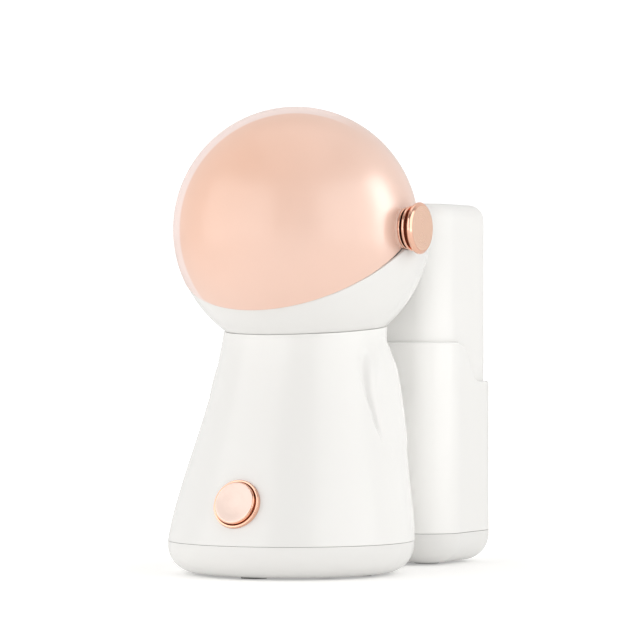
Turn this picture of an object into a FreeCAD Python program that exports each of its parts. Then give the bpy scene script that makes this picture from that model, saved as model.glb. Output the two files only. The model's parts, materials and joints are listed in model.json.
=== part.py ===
import FreeCAD, Part
import math
import os
from types import SimpleNamespace

import Sketcher

# Desk-top facial steamer: a conical body with a helmet-shaped head and a
# flip-up visor, and a tall lift-out water tank in a holder behind it, both on
# one base.  Millimetres, +Z up, the front of the object faces -Y.
# Everything is laid out about the vertical axis of the body foot; each finished
# piece is then moved by x_shift and y_shift, which puts the origin at the
# centre of the footprint on the table.

V = FreeCAD.Vector
doc = FreeCAD.newDocument("facial_steamer")

# ---------------------------------------------------------------- driving dimensions
DIMENSIONS = {
    "x_shift": -3.54, "y_shift": -40.75,
    # base
    "base_radius": 61.5, "base_top": 16.7, "base_low": 1.0, "base_round": 14.0,
    "base_wall": 3.0, "base_floor": 2.6, "waist_half": 25.0,
    "foot_radius": 6.5, "foot_top": 1.8, "seam_gap": 0.4,
    # body cone, five round sections a to e: radius, height, centre y
    "cone_ra": 61.5, "cone_rb": 56.1, "cone_rc": 49.6, "cone_rd": 44.0, "cone_re": 41.0,
    "cone_za": 17.1, "cone_zb": 46.7, "cone_zc": 71.7, "cone_zd": 96.7, "cone_ze": 121.7,
    "cone_ya": 0.0, "cone_yb": 4.2, "cone_yc": 7.5, "cone_yd": 10.9, "cone_ye": 15.5,
    "wall": 2.5,
    "neck_y": 15.5, "neck_z": 122.4, "neck_tilt": 4.0,
    # shoulders at the sides of the body
    "arm_half": 47.0, "arm_front": -5.0, "arm_back": 47.0, "arm_low": 22.0, "arm_top": 113.0,
    # tower: holder, with an S-shaped rim from rim_ya (high) to rim_yb (low)
    "tower_half": 48.5, "tower_front": 75.0, "tower_back": 143.0, "tower_corner": 19.0,
    "holder_wall": 2.4,
    "rim_high": 115.4, "rim_low": 94.9, "rim_ya": 91.3, "rim_yb": 120.0,
    "shelf_low": 66.0, "shelf_top": 68.5,
    # tower: tank and its cap
    "tank_y": 109.0, "tank_inset": 2.8, "tank_low": 76.0, "tank_top": 187.0,
    "tank_wall": 2.2, "tank_round": 8.0,
    "cap_radius": 16.0, "cap_low": 72.0, "neck_radius": 13.2,
    # pump and boiler
    "pump_z": 31.0, "pump_radius": 12.5, "pump_outlet_x": -4.0,
    "boiler_y": 6.0, "boiler_radius": 25.0, "boiler_flange": 29.0,
    # head
    "pivot_y": 5.2, "pivot_z": 172.0, "visor_outer": 61.6, "visor_inner": 59.4,
    "core_outer": 58.4, "core_wall": 2.4,
    "bowl_y": 12.5, "bowl_z": 172.2, "bowl_outer": 64.0, "bowl_front": 67.0, "bowl_wall": 2.6,
    "rim_drop": -8.6, "rear_rim": 10.0, "rim_slope": 0.70, "tuck_slope": 0.404,
    "nozzle_tilt": 12.0, "needle_x": 9.6,
    "pin_radius": 3.0, "pin_clear": 0.05,
    "knob_radius": 12.8, "knob_flange": 10.4, "knob_out": 70.8,
    # button
    "button_y": -55.5, "button_z": 37.0, "button_tilt": 19.5,
    "ring_outer": 12.2, "ring_inner": 11.0, "button_radius": 10.7, "button_proud": 3.2,
}
sheet = doc.addObject("Spreadsheet::Sheet", "dim")
for row, (alias, number) in enumerate(DIMENSIONS.items(), 1):
    sheet.set("A%d" % row, alias)
    sheet.set("B%d" % row, repr(number))
    sheet.setAlias("B%d" % row, alias)
doc.recompute()

# The same values in Python; dim.wall here is "dim.wall" in an expression.
dim = SimpleNamespace(**DIMENSIONS)

# Screw and foot places on the base, (x, y)
BODY_SCREWS = [(33.0, -24.0), (-33.0, -24.0), (33.0, 27.0), (-33.0, 27.0)]
TOWER_SCREWS = [(24.0, 121.0), (-24.0, 121.0)]
SCREWS = BODY_SCREWS + TOWER_SCREWS
FEET = [(0.0, -38.0), (36.0, 4.0), (-36.0, 4.0), (24.0, 104.0), (-24.0, 104.0)]


# ---------------------------------------------------------------- placing
def turn_x(angle):
    return FreeCAD.Rotation(V(1, 0, 0), angle)


def turn_z(angle):
    return FreeCAD.Rotation(V(0, 0, 1), angle)


TO_X = FreeCAD.Rotation(V(0, 1, 0), 90)  # local z points along +X
TO_FRONT = turn_x(90)                    # local z points along -Y
AT_PIVOT = (0, "dim.pivot_y", "dim.pivot_z")
AT_BOILER = (0, "dim.boiler_y", 0)
AT_CAP = (0, "dim.tank_y", "dim.cap_low")
AT_SHELF = (0, "dim.tank_y", "dim.shelf_top")

# Tilted axes: local z is the outward normal of the button, and the line of the nozzle.
BUTTON_FRAME = FreeCAD.Placement(V(0, dim.button_y, dim.button_z), turn_x(90 - dim.button_tilt))
NOZZLE_FRAME = FreeCAD.Placement(V(0, dim.pivot_y, dim.pivot_z), turn_x(90 - dim.nozzle_tilt))


def neck_frame(rise=0.0):
    """Frame of the tilted neck plane, raised along Z."""
    return FreeCAD.Placement(V(0, dim.neck_y, dim.neck_z + rise), turn_x(dim.neck_tilt))


def value(size):
    """Number behind a plain number or a spaced sum such as "dim.wall + 2"."""
    if not isinstance(size, str):
        return float(size)
    total, sign = 0.0, 1.0
    for word in size.split():
        if word in "+-":
            sign = -1.0 if word == "-" else 1.0
        else:
            total += sign * (getattr(dim, word[4:]) if word.startswith("dim.") else float(word))
    return total


def bind(obj, prop, size):
    """Set a property to a number, or tie it to the sheet by an expression."""
    if isinstance(size, str):
        obj.setExpression(prop, size)
    else:
        setattr(obj, prop, size)


def place(obj, pos=(0, 0, 0), turn=FreeCAD.Rotation()):
    """Place an object; a coordinate that is an expression stays bound."""
    base = V(*[0.0 if isinstance(c, str) else float(c) for c in pos])
    obj.Placement = FreeCAD.Placement(base, turn)
    for axis, c in zip("xyz", pos):
        if isinstance(c, str):
            obj.setExpression("Placement.Base.%s" % axis, c)
    return obj


def place_in(frame, obj, pos):
    """Place an object at a local position of a tilted frame."""
    obj.Placement = frame.multiply(FreeCAD.Placement(V(*pos), FreeCAD.Rotation()))
    return obj


# ---------------------------------------------------------------- solids
def primitive(kind, sizes, pos, turn):
    obj = doc.addObject("Part::" + kind, kind.lower())
    for prop, size in sizes.items():
        bind(obj, prop, size)
    return place(obj, pos, turn)


def cyl(radius, height, pos=(0, 0, 0), turn=FreeCAD.Rotation()):
    return primitive("Cylinder", {"Radius": radius, "Height": height}, pos, turn)


def ball(radius, pos):
    return primitive("Sphere", {"Radius": radius}, pos, FreeCAD.Rotation())


def box(length, width, height, pos=(0, 0, 0), turn=FreeCAD.Rotation()):
    return primitive("Box", {"Length": length, "Width": width, "Height": height}, pos, turn)


def across_pivot(radius, x, length):
    """Cylinder on the pivot axis, running from x towards +X."""
    return cyl(radius, length, (x, "dim.pivot_y", "dim.pivot_z"), TO_X)


def cut(base, tool):
    obj = doc.addObject("Part::Cut", "cut")
    obj.Base, obj.Tool = base, tool
    return obj


def common(base, tool):
    obj = doc.addObject("Part::Common", "common")
    obj.Base, obj.Tool = base, tool
    return obj


def fuse(*objs):
    obj = doc.addObject("Part::MultiFuse", "fuse")
    obj.Shapes = list(objs)
    return obj


def group(*objs):
    obj = doc.addObject("Part::Compound", "group")
    obj.Links = list(objs)
    return obj


def mirror_x(source):
    obj = doc.addObject("Part::Mirroring", "mirror")
    obj.Source = source
    obj.Normal = V(1, 0, 0)
    obj.Base = V(0, 0, 0)
    return obj


def fixed(shape):
    """Document object that holds a ready-made shape."""
    obj = doc.addObject("Part::Feature", "shape")
    obj.Shape = shape
    return obj


def fillet(base, radius, wanted):
    """Round every edge of base that wanted() accepts."""
    doc.recompute()
    edges = [(i, radius, radius) for i, e in enumerate(base.Shape.Edges, 1) if wanted(e)]
    if not edges:
        raise RuntimeError("no edge to round on " + base.Name)
    obj = doc.addObject("Part::Fillet", "round")
    obj.Base = base
    obj.Edges = edges
    return obj


def at_z(z, tol=0.02):
    return lambda e: abs(e.BoundBox.ZMin - z) < tol and abs(e.BoundBox.ZMax - z) < tol


def upright(edge):
    bounds = edge.BoundBox
    return bounds.ZLength > 1.0 and bounds.XLength < 0.02 and bounds.YLength < 0.02


def slab(half, front, back, bottom, top, corner, low_round=0.0, top_round=0.0):
    """Block with rounded upright corners, and rounded foot and top edges if asked."""
    out = box(2 * half, back - front, top - bottom, (-half, front, bottom))
    out = fillet(out, corner, upright)
    if low_round:
        out = fillet(out, low_round, at_z(bottom))
    if top_round:
        out = fillet(out, top_round, at_z(top))
    return out


def tower_slab(inset, bottom, top, **rounds):
    """Slab with the outline of the tower, smaller by inset all round."""
    return slab(dim.tower_half - inset, dim.tower_front + inset, dim.tower_back - inset,
                bottom, top, dim.tower_corner - inset, **rounds)


def sketch_body(name, role):
    """PartDesign body with an empty sketch on one of its origin planes."""
    body = doc.addObject("PartDesign::Body", name)
    plane = [f for f in body.Origin.OriginFeatures if f.Role == role][0]
    sketch = body.newObject("Sketcher::SketchObject", name + "_outline")
    sketch.AttachmentSupport = [(plane, "")]
    sketch.MapMode = "FlatFace"
    return body, sketch


def revolve(points, pos=(0, 0, 0), turn=FreeCAD.Rotation()):
    """Body turned about its own Z from a closed (r, z) outline.
    A third entry is the centre of an anticlockwise arc to the next point."""
    body, sketch = sketch_body("turned", "XZ_Plane")
    corners = [(value(p[0]), value(p[1])) for p in points]
    count = len(points)
    radii = []
    for i, point in enumerate(points):
        (r1, z1), (r2, z2) = corners[i], corners[(i + 1) % count]
        if len(point) == 3:
            cr, cz = value(point[2][0]), value(point[2][1])
            radius = math.hypot(r1 - cr, z1 - cz)
            start = math.atan2(z1 - cz, r1 - cr)
            sweep = (math.atan2(z2 - cz, r2 - cr) - start) % (2 * math.pi)
            circle = Part.Circle(V(cr, cz, 0), V(0, 0, 1), radius)
            sketch.addGeometry(Part.ArcOfCircle(circle, start, start + sweep), False)
            radii.append((i, radius))
        else:
            sketch.addGeometry(Part.LineSegment(V(r1, z1, 0), V(r2, z2, 0)), False)
    for i in range(count):
        sketch.addConstraint(Sketcher.Constraint("Coincident", i, 2, (i + 1) % count, 1))
    for i, point in enumerate(points):
        for kind, size, number in (("DistanceX", point[0], corners[i][0]),
                                   ("DistanceY", point[1], corners[i][1])):
            index = sketch.addConstraint(Sketcher.Constraint(kind, -1, 1, i, 1, number))
            if isinstance(size, str):
                sketch.setExpression("Constraints[%d]" % index, size)
    for i, radius in radii:
        sketch.addConstraint(Sketcher.Constraint("Radius", i, radius))
    feature = body.newObject("PartDesign::Revolution", "turn")
    feature.Profile = sketch
    feature.ReferenceAxis = (sketch, ["V_Axis"])
    feature.Angle = 360.0
    sketch.Visibility = False
    return place(body, pos, turn)


def tube(points, outer, inner=0.0):
    """Bent pipe through points: straight runs and round elbows."""
    corners = [V(*p) for p in points]
    last = len(corners) - 2

    def run(radius, overrun):
        out = None
        for i in range(last + 1):
            start = corners[i]
            span = corners[i + 1] - start
            length = span.Length
            along = V(span).normalize()
            if i == 0:
                start, length = start - along * overrun, length + overrun
            if i == last:
                length += overrun
            piece = Part.makeCylinder(radius, length, start, along)
            out = piece if out is None else out.fuse(piece)
            if i > 0:
                out = out.fuse(Part.makeSphere(radius, corners[i]))
        return out

    shape = run(outer, 0.0)
    if inner:
        shape = shape.cut(run(inner, 0.5))
    return fixed(shape)


# ================================================================ base
def base_cover():
    """Tray under the whole object: round disc, tower foot and the waist between."""
    wall = dim.base_wall
    floor_z = dim.base_low + dim.base_floor
    arc_r = "dim.base_radius - dim.base_round"
    arc_z = "dim.base_low + dim.base_round"
    disc = revolve([(0, "dim.base_low"), (arc_r, "dim.base_low", (arc_r, arc_z)),
                    ("dim.base_radius", arc_z), ("dim.base_radius", "dim.base_top"),
                    (0, "dim.base_top")])
    tower = tower_slab(0.0, dim.base_low, dim.base_top, low_round=dim.base_round)
    waist = box("2 * dim.waist_half", 44, "dim.base_top - dim.base_low - 1",
                (-dim.waist_half, 44, "dim.base_low + 1"))
    outside = fuse(disc, tower, waist)

    inner_r = "dim.base_radius - dim.base_wall"
    inner_low = "dim.base_low + dim.base_floor"
    inner_arc_z = inner_low + " + dim.base_round - dim.base_wall"
    disc_room = revolve([(0, inner_low), (arc_r, inner_low, (arc_r, inner_arc_z)),
                         (inner_r, inner_arc_z), (inner_r, 26), (0, 26)])
    tower_room = tower_slab(wall, floor_z, dim.base_top + 8, low_round=dim.base_round - wall)
    waist_room = box("2 * dim.waist_half - 2 * dim.base_wall", 50, 30,
                     (-dim.waist_half + wall, 40, "dim.base_low + 4"))
    cover = cut(outside, fuse(disc_room, tower_room, waist_room))
    cover = fuse(cover, *[cyl(5.0, 13.2, (x, y, "dim.base_low + 1")) for x, y in SCREWS])

    tools = [cyl(3.4, 6.0, (x, y, 0)) for x, y in SCREWS]      # head recesses
    tools += [cyl(1.7, 30.0, (x, y, 0)) for x, y in SCREWS]    # shank holes
    tools += [cyl("dim.foot_radius + 0.15", "dim.foot_top", (x, y, 0)) for x, y in FEET]
    tools += [box(26, 2.2, 6, (-13, -12 + 6 * i, 0)) for i in range(4)]  # floor slots
    for tool in tools:
        cover = cut(cover, tool)

    # locating lip that stands up inside the body foot and hides the seam
    lip = cut(cyl(58.6, 3.6, (0, 0, "dim.base_top - 1.5")),
              cyl(57.2, 8, (0, 0, "dim.base_top - 3")))
    lip = cut(lip, box(60, 60, 20, (-30, 30, 5)))
    return fuse(cover, lip)


def rubber_feet():
    return group(*[cyl("dim.foot_radius", "dim.foot_top", (x, y, 0)) for x, y in FEET])


def base_screws():
    screws = []
    for x, y in SCREWS:
        head = cut(cyl(3.0, 2.4, (x, y, 3.55)), box(1.0, 4.4, 1.2, (x - 0.5, y - 2.2, 3.2)))
        screws.append(fuse(head, cyl(1.5, 18.0, (x, y, 5.9))))
    return group(*screws)


def screw_post(x, y):
    return cyl(4.5, 16.0, (x, y, 15.6))


def screw_bores(places):
    return [cyl(1.55, 12.0, (x, y, 14.0)) for x, y in places]


# ================================================================ body shell
def cone_stack(inset):
    """Loft through the round sections of the body, each smaller by inset."""
    # (radius, centre y, z); the last runs on above the neck plane before trimming
    stations = [("dim.cone_r" + c, "dim.cone_y" + c, "dim.cone_z" + c) for c in "abcde"]
    stations.append(("dim.cone_re - 0.7", "dim.cone_ye + 1.5", "dim.cone_ze + 8"))
    sections = []
    for radius, y, z in stations:
        circle = doc.addObject("Part::Circle", "section")
        circle.setExpression("Radius", "%s - %r" % (radius, inset))
        sections.append(place(circle, (0, y, z)))
    loft = doc.addObject("Part::Loft", "cone_body")
    loft.Sections = sections
    loft.Solid = True
    loft.Ruled = False
    return loft


def arms(inset):
    """Rounded block that forms the shoulders, smaller by inset except at its foot."""
    half = dim.arm_half - inset
    back = dim.arm_back - inset
    top = dim.arm_top - inset
    out = box(2 * half, back - dim.arm_front - inset, top - dim.arm_low,
              (-half, dim.arm_front + inset, dim.arm_low))
    out = fillet(out, 14.0 - inset, lambda e: upright(e) and e.BoundBox.YMin < 10)
    out = fillet(out, 20.0 - inset, lambda e: upright(e) and e.BoundBox.YMin > back - 1)
    return fillet(out, 12.0 - inset, at_z(top))


def body_shell():
    above_neck = place_in(neck_frame(-0.25), box(200, 200, 120), (-100, -100, 0))
    outside = cut(fuse(cone_stack(0.0), arms(0.0)), above_neck)
    foot_opening = cyl("dim.cone_ra - dim.wall", 2.5, (0, 0, 15.0))
    shell = cut(outside, fuse(cone_stack(dim.wall), arms(dim.wall), foot_opening))

    # screw posts, each with a rib out to the wall
    rib_width = 1.8
    posts = []
    for x, y in BODY_SCREWS:
        angle = math.atan2(y, x)
        rib_x = x + rib_width / 2 * math.sin(angle)
        rib_y = y - rib_width / 2 * math.cos(angle)
        posts.append(screw_post(x, y))
        posts.append(box(24, rib_width, 12.0, (rib_x, rib_y, 19.5), turn_z(math.degrees(angle))))
    shell = fuse(shell, common(fuse(*posts), fuse(cone_stack(1.2), cyl(58, 3, (0, 0, 15.2)))))

    button_hole = place_in(BUTTON_FRAME, cyl("dim.ring_outer + 0.05", 20), (0, 0, -10))
    rear_opening = box(30, 40, 18, (-15, 35, 21))
    return cut(shell, fuse(*screw_bores(BODY_SCREWS), button_hole, rear_opening))


# ================================================================ rear housing
def rim_cutter():
    """Everything above the S-shaped rim, as a pad across the whole width."""
    body, sketch = sketch_body("rim_cut", "YZ_Plane")
    front, back, high, low = dim.rim_ya, dim.rim_yb, dim.rim_high, dim.rim_low
    run, drop = back - front, high - low
    # two equal arcs that meet tangentially halfway down
    radius = (run ** 2 + drop ** 2) / (4 * drop)
    sweep = 2 * math.atan2(drop, run)
    top_arc = Part.Circle(V(front, high - radius, 0), V(0, 0, 1), radius)
    low_arc = Part.Circle(V(back, low + radius, 0), V(0, 0, 1), radius)
    reach_front, reach_back, reach_top = 40, 170, 180
    for item in (
            Part.LineSegment(V(reach_front, high, 0), V(front, high, 0)),
            Part.ArcOfCircle(top_arc, math.pi / 2 - sweep, math.pi / 2),
            Part.ArcOfCircle(low_arc, 1.5 * math.pi - sweep, 1.5 * math.pi),
            Part.LineSegment(V(back, low, 0), V(reach_back, low, 0)),
            Part.LineSegment(V(reach_back, low, 0), V(reach_back, reach_top, 0)),
            Part.LineSegment(V(reach_back, reach_top, 0), V(reach_front, reach_top, 0)),
            Part.LineSegment(V(reach_front, reach_top, 0), V(reach_front, high, 0))):
        sketch.addGeometry(item, False)
    # joints: (item, end, item, end)
    for joint in ((0, 2, 1, 2), (1, 1, 2, 1), (2, 2, 3, 1), (3, 2, 4, 1),
                  (4, 2, 5, 1), (5, 2, 6, 1), (6, 2, 0, 1)):
        sketch.addConstraint(Sketcher.Constraint("Coincident", *joint))
    # distances from the sketch origin: kind, item, end, dimension
    for kind, item, end, name in (("DistanceY", 0, 2, "rim_high"), ("DistanceY", 3, 1, "rim_low"),
                                  ("DistanceX", 0, 2, "rim_ya"), ("DistanceX", 3, 1, "rim_yb")):
        index = sketch.addConstraint(
            Sketcher.Constraint(kind, -1, 1, item, end, getattr(dim, name)))
        sketch.setExpression("Constraints[%d]" % index, "dim." + name)
    for arc in (1, 2):
        sketch.addConstraint(Sketcher.Constraint("Radius", arc, radius))
    pad = body.newObject("PartDesign::Pad", "rim_pad")
    pad.Profile = sketch
    pad.Length = 140
    pad.Midplane = True
    sketch.Visibility = False
    return body


def rear_housing():
    """Tank holder with its shelf, and the bridge that joins it to the body."""
    bottom = dim.base_top + dim.seam_gap
    wall = dim.holder_wall
    bridge_half = dim.waist_half - 2
    tower = tower_slab(0.0, bottom, dim.rim_high + 5)
    bridge = box("2 * dim.waist_half - 4", 40, 66, (-bridge_half, 42, bottom))
    rear = cut(fuse(tower, bridge), rim_cutter())
    low_room = tower_slab(wall, bottom - 2, dim.shelf_low)
    high_room = tower_slab(wall, dim.shelf_top, dim.rim_high + 12)
    bridge_room = box(2 * (bridge_half - wall), 44, 66 - wall,
                      (-bridge_half + wall, 40, bottom - 2))
    rear = cut(rear, fuse(low_room, high_room, bridge_room))
    # the bridge is trimmed to the back of the body
    rear = cut(rear, fuse(cone_stack(-0.3), arms(-0.3)))

    ribs = [box(8, 3, 7.45, (side * 34 - 4, y, "dim.shelf_top - 0.05"))
            for side in (-1, 1) for y in (88.0, 127.0)]
    posts = [screw_post(x, y) for x, y in TOWER_SCREWS]
    ties = [box(1.8, 20.5, 12.0, (x - 0.9, y, 19.0)) for x, y in TOWER_SCREWS]
    rear = fuse(rear, *ribs, *posts, *ties)
    shelf_hole = cyl(10.0, 10.0, (0, "dim.tank_y", 62))
    inlet_hole = box(22.4, 12, 14.4, (-11.2, 136, 27.8))
    return cut(rear, fuse(*screw_bores(TOWER_SCREWS), shelf_hole, inlet_hole))


# ================================================================ tank
def water_tank():
    inset, wall = dim.tank_inset, dim.tank_wall
    outside = tower_slab(inset, dim.tank_low, dim.tank_top,
                         low_round=3.0, top_round=dim.tank_round)
    inside = tower_slab(inset + wall, dim.tank_low + wall, dim.tank_top - wall,
                        low_round=1.2, top_round=dim.tank_round - wall)
    tank = cut(outside, inside)
    tank = fuse(tank, cyl("dim.neck_radius + 2.6", 8.0, (0, "dim.tank_y", "dim.tank_low")))
    return cut(tank, cyl("dim.neck_radius", 12.0, (0, "dim.tank_y", "dim.tank_low - 2")))


# Outlines of the cap and its valve are (r, z above the underside of the cap).
def tank_cap():
    cap = revolve([(5.2, 0), ("dim.cap_radius", 0), ("dim.cap_radius", 3.0), (13.05, 3.0),
                   (13.05, 11.0), (10.5, 11.0), (10.5, 27.0), (2.4, 27.0), (2.4, 25.0),
                   (9.0, 25.0), (9.0, 11.0), (5.2, 11.0)], AT_CAP)
    windows = [box(30, 6, 8, (-15, "dim.tank_y - 3", "dim.cap_low + 14")),
               box(6, 30, 8, (-3, "dim.tank_y - 15", "dim.cap_low + 14"))]
    grip_circle = dim.cap_radius + 0.4
    grips = []
    for degrees in range(0, 360, 20):
        angle = math.radians(degrees)
        grips.append(cyl(1.1, 3.4, (grip_circle * math.cos(angle),
                                    dim.tank_y + grip_circle * math.sin(angle),
                                    "dim.cap_low - 0.2")))
    return cut(cap, fuse(*windows, *grips))


def cap_gasket():
    return revolve([(13.3, 3.05), (15.4, 3.05), (15.4, 3.95), (13.3, 3.95)], AT_CAP)


def valve_plunger():
    return revolve([(0, -1.4), (2.0, -1.4), (2.0, 12.1), (6.5, 12.1), (6.5, 13.6), (2.2, 13.6),
                    (2.2, 29.0), (0, 29.0)], AT_CAP)


def valve_seal():
    return revolve([(2.1, 11.05), (6.3, 11.05), (6.3, 12.05), (2.1, 12.05)], AT_CAP)


def valve_spring():
    """Coil as mitred straight lengths of round wire."""
    coil_radius, wire_radius, turns, end_gap = 4.6, 0.45, 4.0, 0.3
    bottom, top = dim.cap_low + 13.65, dim.cap_low + 24.95
    rise = top - bottom - 2 * wire_radius - 2 * end_gap
    steps = int(turns * 14)
    points = []
    for i in range(steps + 1):
        angle = 2 * math.pi * turns * i / steps
        points.append(V(coil_radius * math.cos(angle),
                        dim.tank_y + coil_radius * math.sin(angle),
                        bottom + wire_radius + end_gap + rise * i / steps))
    path = Part.makePolygon(points)
    profile = Part.Wire([Part.makeCircle(wire_radius, points[0], points[1] - points[0])])
    return fixed(path.makePipeShell([profile], True, False, 1))


# Outlines of the seat and its seal are (r, z above the shelf top).
def tank_seat():
    seat = revolve([(0, -2.4), (9.7, -2.4), (9.7, 0.05), (21.0, 0.05), (21.0, 5.5), (19.2, 5.5),
                    (19.2, 1.4), (1.8, 1.4), (1.8, 2.0), (0, 2.0)], AT_SHELF)
    drain_angles = (0.5, 1.55, 2.6, 3.7, 4.7, 5.75)  # radians
    drains = [cyl(1.8, 8, (6.0 * math.cos(a), dim.tank_y + 6.0 * math.sin(a),
                           "dim.shelf_top - 4")) for a in drain_angles]
    return cut(seat, fuse(*drains))


def seat_seal():
    return revolve([(10.5, 1.45), (15.0, 1.45), (15.0, 2.2), (13.4, 3.4), (12.2, 3.4),
                    (10.5, 2.2)], AT_SHELF)


# ================================================================ pump and feed line
def feed_funnel():
    taper = primitive("Cone", {"Radius1": 3.4, "Radius2": 9.4, "Height": 7.0},
                      (0, "dim.tank_y", 53.9), FreeCAD.Rotation())
    return fuse(cyl(9.4, 2.0, (0, "dim.tank_y", 60.9)), taper,
                cyl(2.6, 8.0, (0, "dim.tank_y", 46.4)))


def water_pump():
    return fuse(cyl("dim.pump_radius", 17.0, (-8.5, "dim.tank_y", "dim.pump_z"), TO_X),
                cyl(11.0, 6.0, (8.5, "dim.tank_y", "dim.pump_z"), TO_X),
                cyl(2.6, 4.4, (0, "dim.tank_y", 41.9)),
                cyl(2.6, 12.0, ("dim.pump_outlet_x", "dim.tank_y - 9", "dim.pump_z"), TO_FRONT))


def pump_cradle():
    return cut(box(26, 30, 6, (-16, "dim.tank_y - 15", 15.4)),
               cyl("dim.pump_radius + 0.05", 60, (-40, "dim.tank_y", "dim.pump_z"), TO_X))


def feed_tube():
    x = dim.pump_outlet_x
    pipe = tube([(x, 87.6, dim.pump_z), (x, 50, dim.pump_z), (x, 36, 44.0), (x, 30.0, 50.5)],
                2.4, 1.4)
    return cut(pipe, cyl("dim.boiler_radius + 0.05", 30, (0, "dim.boiler_y", 40.0)))


# ================================================================ boiler
# Outlines are (r, z) about the upright boiler axis.
def boiler_pot():
    pot = revolve([(0, 46.0), ("dim.boiler_radius", 46.0), ("dim.boiler_radius", 74.0),
                   ("dim.boiler_flange", 74.0), ("dim.boiler_flange", 76.0), (22.8, 76.0),
                   (22.8, 48.2), (0, 48.2)], AT_BOILER)
    return cut(pot, cyl(1.4, 9.0, ("dim.pump_outlet_x", 34.0, 50.6), TO_FRONT))


def heater_plate():
    return revolve([(0, 42.6), (23.5, 42.6), (23.5, 45.95), (0, 45.95)], AT_BOILER)


THERMOSTAT_X = 10


def thermostat():
    return fuse(cyl(7.0, 3.2, (THERMOSTAT_X, "dim.boiler_y", 39.35)),
                cyl(4.2, 2.4, (THERMOSTAT_X, "dim.boiler_y", 37.0)))


def boiler_gasket():
    return revolve([(23.2, 76.05), (28.6, 76.05), (28.6, 77.0), (23.2, 77.0)], AT_BOILER)


LID_SCREWS = [(26.0 * math.cos(math.radians(a)), dim.boiler_y + 26.0 * math.sin(math.radians(a)))
              for a in (45, 135, 225, 315)]


def boiler_lid():
    lid = revolve([(6.2, 77.05), ("dim.boiler_flange", 77.05), ("dim.boiler_flange", 79.2),
                   (23.2, 79.2), (22.0, 81.0), (7.8, 84.0), (7.8, 90.0), (6.2, 90.0)], AT_BOILER)
    return cut(lid, fuse(*[cyl(1.3, 20, (x, y, 70)) for x, y in LID_SCREWS]))


def boiler_screws():
    return group(*[fuse(cyl(2.2, 1.6, (x, y, 79.25)), cyl(1.2, 2.25, (x, y, 77.1)))
                   for x, y in LID_SCREWS])


def boiler_stand():
    plate = cut(cyl(27.5, 1.4, (0, "dim.boiler_y", 34.8)),
                cyl(8.5, 6, (THERMOSTAT_X, "dim.boiler_y", 33)))
    legs = [box(5.0, 5.0, 19.5, (x - 2.5, y - 2.5, 15.6))
            for x, y in ((17.0, -8.0), (-17.0, -8.0), (17.0, 20.0), (-17.0, 20.0))]
    return fuse(plate, *legs)


def boiler_spacers():
    return fuse(*[cyl(2.4, 6.3, (x, y, 36.25))
                  for x, y in ((14.0, -11.0), (-14.0, -11.0), (-16.0, 20.0), (16.0, 20.0))])


def steam_pipe():
    """Pipe from the boiler lid up through the neck to the nozzle."""
    y = dim.boiler_y
    return tube([(0, y, 84.6), (0, y, 96), (0, 14, 122), (0, 12, 150),
                 NOZZLE_FRAME.multVec(V(0, 0, 6.0)), NOZZLE_FRAME.multVec(V(0, 0, 36.0))],
                6.1, 5.0)


# ================================================================ neck and head
def neck_collar():
    def ring_part(radius, height, z):
        return place_in(neck_frame(), cyl(radius, height), (0, 0, z))

    return cut(fuse(ring_part(36.8, 8.0, -8.3), ring_part(35.6, 6.6, -0.6)),
               ring_part(31.0, 30, -15))


def egg(radius, front):
    """Solid turned about the Y axis through the bowl centre: a half ellipsoid
    that reaches front towards -Y, and a hemisphere behind."""
    ellipse = Part.Ellipse(V(0, -front, 0), V(radius, 0, 0), V(0, 0, 0))
    front_arc = Part.ArcOfEllipse(ellipse, 0.0, math.pi / 2).toShape()
    diagonal = radius * math.sqrt(0.5)
    rear_arc = Part.Arc(V(radius, 0, 0), V(diagonal, diagonal, 0), V(0, radius, 0)).toShape()
    axis = Part.makeLine(V(0, radius, 0), V(0, -front, 0))
    outline = Part.Wire(Part.__sortEdges__([front_arc, rear_arc, axis]))
    solid = Part.Face(outline).revolve(V(0, 0, 0), V(0, 1, 0), 360)
    if solid.Volume < 0:
        solid.reverse()
    solid.translate(V(0, dim.bowl_y, dim.bowl_z))
    return fixed(solid)


def half_space(slope, drop, lift, above):
    """Block above or below a plane of the given slope along Y.
    The plane passes drop above the pivot, then moves by lift along its normal."""
    frame = FreeCAD.Placement(V(0, dim.pivot_y, dim.pivot_z + drop),
                              turn_x(math.degrees(math.atan(slope))))
    return place_in(frame, box(300, 300, 150), (-150, -150, lift if above else lift - 150))


def head_bowl():
    """Fixed outer bowl, open above its sloping rim and at the neck."""
    wall = dim.bowl_wall
    bowl = cut(egg(dim.bowl_outer, dim.bowl_front),
               egg(dim.bowl_outer - wall, dim.bowl_front - wall))
    bowl = cut(bowl, half_space(dim.rim_slope, dim.rim_drop, -0.25, above=True))
    below_neck = place_in(neck_frame(0.25), box(200, 200, 120), (-100, -100, -120))
    # room for the visor, from 8 in front of the pivot backwards
    relief = cut(ball(62.1, AT_PIVOT),
                 box(200, 100, 200, (-100, "dim.pivot_y - 108", "dim.pivot_z - 100")))
    pivot_holes = fuse(across_pivot(10.8, 50, 30), across_pivot(10.8, -80, 30))
    bowl = cut(bowl, fuse(below_neck, relief, pivot_holes))
    return cut(bowl, box(200, 200, 60, (-100, -100, "dim.pivot_z + dim.rear_rim")))


def inner_head():
    """Hollow part-sphere under the visor, with the nozzle opening."""
    core = cut(ball("dim.core_outer", AT_PIVOT), ball("dim.core_outer - dim.core_wall", AT_PIVOT))
    core = cut(core, half_space(dim.rim_slope, dim.rim_drop, 0.3, above=False))
    core = cut(core, place_in(NOZZLE_FRAME, cyl(15.2, 30), (0, 0, 40)))
    return cut(core, across_pivot("dim.pin_radius + 0.02", -70, 140))


def needle_pair(radius, length, distance):
    """Two cylinders beside the nozzle axis, distance out from the pivot."""
    return [place_in(NOZZLE_FRAME, cyl(radius, length), (side * dim.needle_x, 0, distance))
            for side in (-1, 1)]


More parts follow.
